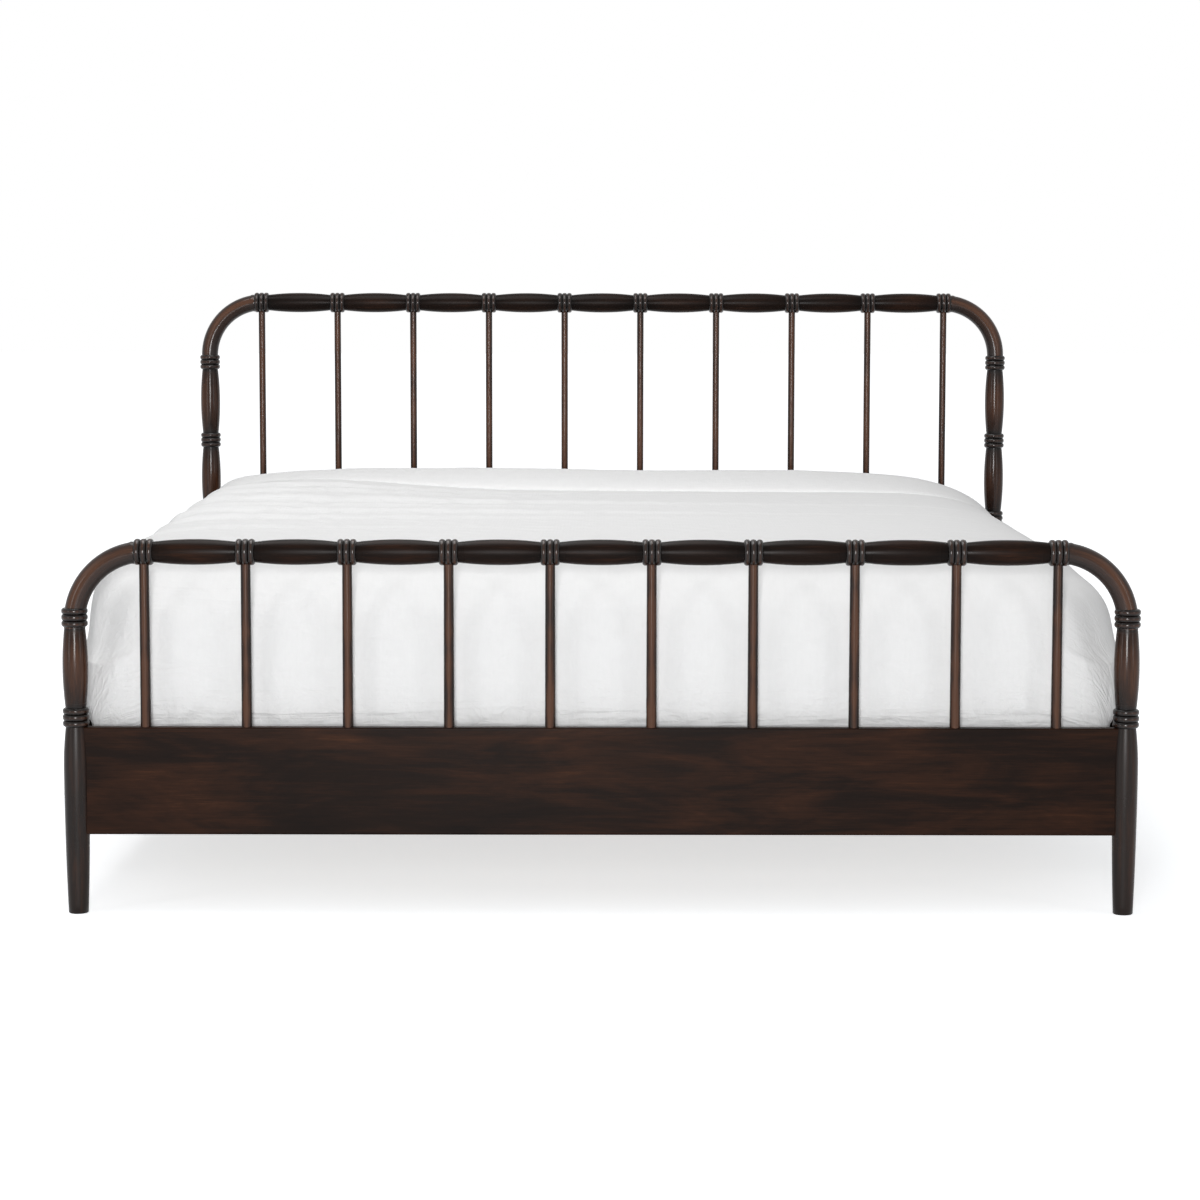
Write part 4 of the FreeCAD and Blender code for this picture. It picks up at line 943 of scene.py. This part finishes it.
# %% Duvet lining
LINING_GAP, LINING_ROLL, LINING_TOP = 0.003, 0.030, 0.604
lining_edge_x = MATTRESS_HALF_WIDTH + LINING_GAP - LINING_ROLL
lining_edge_y = MATTRESS_FOOT - LINING_GAP + LINING_ROLL
lining_plan, lining_outward = rounded_plan(np.linspace(-1, 1, len(xs)) * lining_edge_x,
                                           np.linspace(lining_edge_y, DUVET_HEAD, len(ys)),
                                           MATTRESS_CORNER - LINING_ROLL, False)
arc = np.linspace(0, math.pi / 2, len(roll) + 1)[1:]
lining_section = np.concatenate([
    np.stack([LINING_ROLL * np.sin(arc), LINING_TOP - LINING_ROLL * (1 - np.cos(arc))], axis=1),
    np.stack([np.full(len(FALL_HEIGHT), LINING_ROLL),
              np.linspace(LINING_TOP - LINING_ROLL, FALL_HEIGHT[-1], len(FALL_HEIGHT) + 1)[1:]], axis=1)])
lining_top = np.column_stack([lining_plan.reshape(-1, 2), np.full(count, LINING_TOP)])
lining_sides = skirt(lining_plan.reshape(-1, 2)[edge], lining_outward.reshape(-1, 2)[edge], lining_section)
lining = np.concatenate([lining_top, lining_sides.reshape(-1, 3)])
print("lining of", len(lining), "points, as many as the sheet's", len(laid))

# %% [markdown]
# Sheet and lining become one closed piece. The lining's faces look the other way, the open edge of both is the hem,
# and one more row of points between them rounds it. The gather attribute says where the cloth is crumpled: a little
# where it is slack, and much more at the foot, in a line above the tuck and at the two corners.

# %% Duvet
TUCK_HEIGHT, TUCK_SPREAD, TUCK_GATHER, SLACK_GATHER = 0.372, 0.045, 2.3, 0.65
CORNER_X, CORNER_SPREAD, CORNER_RISE, CORNER_GATHER = 0.98, 0.16, 0.12, 1.7
HEM_BULGE, HEAD_BULGE = -0.005, 0.016


def closed_with_hem(outer, inner, quads, bulge):
    """Two sheets with the same quads made one closed piece. Each open side of the outer sheet, from a to b, gets two
    quads by way of a hem point between the sheets, which stands out by the bulge away from the faces there."""
    start, end = quads.ravel(), np.roll(quads, -1, axis=1).ravel()
    key = np.minimum(start, end) * len(outer) + np.maximum(start, end)
    _, where, times = np.unique(key, return_index=True, return_counts=True)
    a, b = start[where[times == 1]], end[where[times == 1]]
    ring = np.unique(np.concatenate([a, b]))
    number = np.zeros(len(outer), int)
    number[ring] = np.arange(len(ring)) + 2 * len(outer)
    hem = (outer[ring] + inner[ring]) / 2 + bulge[ring]
    points = np.concatenate([outer, inner, hem])
    first = np.stack([b, a, number[a], number[b]], axis=1)
    second = np.stack([number[b], number[a], a + len(outer), b + len(outer)], axis=1)
    return points, np.concatenate([quads, quads[:, ::-1] + len(outer), first, second])


hem_bulge = np.zeros_like(laid)
hem_bulge[side_index[-1], 2] = HEM_BULGE
hem_bulge[at_head, 1] = HEAD_BULGE
duvet_points, duvet_quads = closed_with_hem(laid, lining, sheet_quads, hem_bulge)
duvet = add_piece("duvet_sheet", duvet_points, duvet_quads.tolist(), duvet_cotton, "duvet", ["duvet"])
hem_places = np.zeros((len(duvet_points) - 2 * len(laid), 2))
from_tuck = sheet_points[:, 2] - TUCK_HEIGHT
from_corner = np.abs(sheet_points[:, 0]) - CORNER_X
above_tuck = np.exp(-(from_tuck / TUCK_SPREAD) ** 2)
near_corner = np.exp(-(from_corner / CORNER_SPREAD) ** 2) * np.exp(-(from_tuck / CORNER_RISE) ** 2)
foot_gather = (TUCK_GATHER * above_tuck + CORNER_GATHER * near_corner) * np.append(np.zeros(count), on_foot)
gather = SLACK_GATHER * slack + foot_gather
weave_attribute(duvet, np.concatenate([weave_places, weave_places, hem_places]),
                np.concatenate([gather, 0 * gather, np.zeros(len(hem_places))]))
finer(duvet)
print("duvet of", len(duvet_quads), "quads")

# %% [markdown]
# At the head the duvet's end is folded back on itself, which makes a thicker band from side to side with a soft round
# lip. The band is one closed form: a flattened oval carried along the duvet's own outline, up one side, across the
# top and down the other. Its ends thin out down the sides, and slow waves keep the lip from being straight.

# %% Duvet fold
FOLD_STEPS, FOLD_SIDES = 121, 40
FOLD_THICKNESS, FOLD_END, FOLD_THIN_OUT, FOLD_SINK = 0.060, 0.42, 0.20, 0.004
FOLD_GATHER, FOLD_LEFT_GATHER, FOLD_LEFT_RUN = 0.25, 0.4, 0.9
FOLD_DEPTHS = ((-0.95, 0.145), (-0.50, 0.210), (0.0, 0.245), (0.65, 0.300))  # x and depth, x and share of thickness
FOLD_SHARES = ((-1.02, 0.15), (-0.97, 0.36), (-0.70, 0.44), (-0.35, 1.0), (0.50, 1.0), (0.80, 0.66), (1.0, 0.25))


def slow_waves(x, height, seed):
    """Sum of four slow sines with drawn lengths and phases, of about the given height."""
    drawn_waves = np.random.default_rng(seed)
    length = drawn_waves.uniform(0.25, 1.1, 4)
    phase = drawn_waves.uniform(0, 2 * math.pi, 4)
    return height * np.sin(2 * math.pi * x[..., None] / length + phase).sum(axis=-1) / 2


def kept_power(values, power):
    """Power of each value's size, with the value's sign kept."""
    return np.sign(values) * np.abs(values) ** power


def fold_line():
    """The duvet's outline across the bed near its head, from the left side over the top to the right, with points at
    even steps along it and the direction away from the mattress at each."""
    inset = DUVET_HALF_WIDTH * np.linspace(0, 1, 200) ** 2
    mound = head_fullness(np.column_stack([inset - DUVET_HALF_WIDTH, np.full_like(inset, DUVET_HEAD)]))
    left = np.column_stack([inset - DUVET_HALF_WIDTH, shoulder(inset, LEFT_REACH[2]) + mound])
    right = np.column_stack([DUVET_HALF_WIDTH - inset, shoulder(inset, RIGHT_REACH[2])])[::-1]
    drop = np.linspace(FOLD_END, DUVET_TOP - SHOULDER_DROP, 20)[:-1]
    down = np.column_stack([np.full_like(drop, DUVET_HALF_WIDTH), drop])
    line = np.concatenate([down * (-1, 1), left[:-1], right, down[::-1]])
    run = np.append(0.0, np.cumsum(np.linalg.norm(np.diff(line, axis=0), axis=1)))
    even = np.linspace(0, run[-1], FOLD_STEPS)
    line = np.column_stack([np.interp(even, run, line[:, 0]), np.interp(even, run, line[:, 1])])
    along = np.gradient(line, axis=0)
    along = along / np.linalg.norm(along, axis=1, keepdims=True)
    return even, line, np.column_stack([-along[:, 1], along[:, 0]])


def fold_band():
    """Oval carried along the fold line: y = middle + half depth * c, and the line's point moved away from the mattress
    by half the thickness * s * (0.68 + 0.32 c), so the lip is thinner than the head end. Here c and s are the
    sign-kept powers of cosine and sine that fill the oval out."""
    run, line, away = fold_line()
    angle = ring_angles(FOLD_SIDES)
    c, s = kept_power(np.cos(angle), 0.70), kept_power(np.sin(angle), 0.80)
    end_share = np.clip(np.minimum(run, run[-1] - run) / FOLD_THIN_OUT, 0, 1)
    full = np.sqrt(1 - (1 - end_share) ** 2) * 0.97 + 0.03
    half = FOLD_THICKNESS * (1 + slow_waves(run, 0.05, 5)) * (0.25 + 0.75 * full) * np.minimum(1, full * 3)
    half = half * np.interp(line[:, 0], *np.transpose(FOLD_SHARES))
    reach_back = np.interp(line[:, 0], *np.transpose(FOLD_DEPTHS))
    depth = reach_back / 2 * (0.45 + 0.55 * full) * np.minimum(1, full * 3)
    middle = DUVET_HEAD - reach_back / 2 + slow_waves(run, 0.004, 8)
    y = middle[:, None] + depth[:, None] * c
    lift = half[:, None] * s * (0.68 + 0.32 * c) - FOLD_SINK
    plan = line[:, None] + away[:, None] * lift[..., None]
    return np.stack([plan[..., 0], y, plan[..., 1]], axis=-1)


band = fold_band().reshape(-1, 3)
band_faces = tube_faces(FOLD_STEPS, FOLD_SIDES)
fold = add_piece("duvet_fold", band, band_faces, duvet_cotton, "duvet", None)
on_left = np.exp(-((band[:, 0] + DUVET_HALF_WIDTH) / FOLD_LEFT_RUN) ** 2)
weave_attribute(fold, band[:, :2], FOLD_GATHER + FOLD_LEFT_GATHER * on_left)
finer(fold)
print("fold band of", len(band_faces), "faces")

# %% [markdown]
# The bed stands in a plain white studio. The world looks white to the camera and in reflections, and gives only a
# weak light of its own. The floor takes the bed's shadow and still looks white: the camera sees a glow and, on top of
# it, the light that really falls there. The glow is weaker under the bed, a painted shadow, and rises to full white
# away from it. Paint and glow are a little cool, a painted tint that cancels the warm light the wood throws down.

# %% Floor and world
FILL_LIGHT, WHITE = 0.22, (1.0, 1.0, 1.0, 1.0)
FLOOR_PAINT, FLOOR_GLOW = (0.785, 0.80, 0.815, 1.0), (0.988, 1.0, 1.012, 1.0)
FLOOR_HALF, FLOOR_SQUEEZE = 60, (0.55, 1.0, 1.0)
GLOW_START, GLOW_END, GLOW_IN_PAINTED_SHADOW = 0.8, 2.1, 0.635


def seen_directly(tree):
    """One where a ray comes from the camera, a reflection or a view through glass, and zero elsewhere."""
    path = add_node(tree, "LightPath")
    seen = path.outputs["Is Camera Ray"]
    for kind in ("Is Glossy Ray", "Is Transmission Ray"):
        seen = add_node(tree, "Math", {"operation": "MAXIMUM"}, i0=seen, i1=path.outputs[kind]).outputs[0]
    return seen


world = bpy.data.worlds.new("studio")
scene.world = world
world.use_nodes = True
tree = world.node_tree
tree.nodes.clear()
fill_light = add_node(tree, "Background", Color=WHITE, Strength=FILL_LIGHT)
white = add_node(tree, "Background", Color=WHITE, Strength=1.0)
either = add_node(tree, "MixShader", i0=seen_directly(tree), i1=fill_light.outputs[0], i2=white.outputs[0])
add_node(tree, "OutputWorld", Surface=either.outputs[0])

floor_material = bpy.data.materials.new("white_floor")
floor_material.use_nodes = True
tree = floor_material.node_tree
tree.nodes.clear()
paint = add_node(tree, "BsdfDiffuse", Color=FLOOR_PAINT)
squeezed = add_node(tree, "Mapping", i0=object_place(tree), Scale=FLOOR_SQUEEZE)
from_bed = add_node(tree, "VectorMath", {"operation": "LENGTH"}, i0=squeezed.outputs[0])
# The glow falls off toward the bed: a painted shadow under it.
strength = ranged(tree, from_bed.outputs["Value"], GLOW_START, GLOW_END, GLOW_IN_PAINTED_SHADOW, 1.0)
glow = add_node(tree, "Emission", Color=FLOOR_GLOW, Strength=strength)
dark = add_node(tree, "Emission", Strength=0.0)
shown = add_node(tree, "MixShader", i0=seen_directly(tree), i1=dark.outputs[0], i2=glow.outputs[0])
both = add_node(tree, "AddShader", i0=paint.outputs[0], i1=shown.outputs[0])
add_node(tree, "OutputMaterial", Surface=both.outputs[0])
corners = [(x * FLOOR_HALF, y * FLOOR_HALF, 0) for x, y in ((-1, -1), (1, -1), (1, 1), (-1, 1))]
floor = new_object("studio_floor", corners, [(0, 1, 2, 3)])
floor.data.materials.append(floor_material)
print("white floor and world")

# %% [markdown]
# One large soft lamp stands in front of the bed, a little to the left of the camera, and does most of the work. Two
# slim upright strips at the sides draw the highlights on round wood, two weak lamps stand high at the sides, and one
# hangs above the bedding.

# %% Lamps
LAMPS = (  # name, place, aim, width, height, watts
    ("front", (-0.4, -8.2, 1.45), (0.0, -1.0, 0.6), 1.4, 2.5, 326.0),
    ("left_strip", (-4.6, -4.4, 1.2), (-0.6, -1.0, 0.7), 0.60, 2.3, 22.0),
    ("right_strip", (4.6, -4.4, 1.2), (0.6, -1.0, 0.7), 0.50, 2.3, 18.0),
    ("left_high", (-3.8, -2.7, 2.8), (-0.9, -1.0, 0.7), 2.40, 1.60, 6.0),
    ("right_high", (3.8, -2.7, 2.8), (0.9, -1.0, 0.7), 2.20, 1.50, 4.0),
    ("above", (-0.6, -0.2, 4.1), (0.0, 0.1, 0.5), 2.6, 2.4, 93.0),
)


def soft_lamp(name, place, aim, width, height, watts):
    """A rectangular lamp at a place, turned to face its aim."""
    light = bpy.data.lights.new(name, "AREA")
    light.shape = "RECTANGLE"
    light.size, light.size_y = width, height
    light.energy = watts
    lamp = bpy.data.objects.new(name, light)
    scene.collection.objects.link(lamp)
    facing = (Vector(aim) - Vector(place)).to_track_quat("-Z", "Y").to_matrix().to_4x4()
    lamp.matrix_world = Matrix.Translation(place) @ facing


for lamp in LAMPS:
    soft_lamp(*lamp)
scene.view_settings.view_transform = "Standard"
print(len(LAMPS), "lamps")
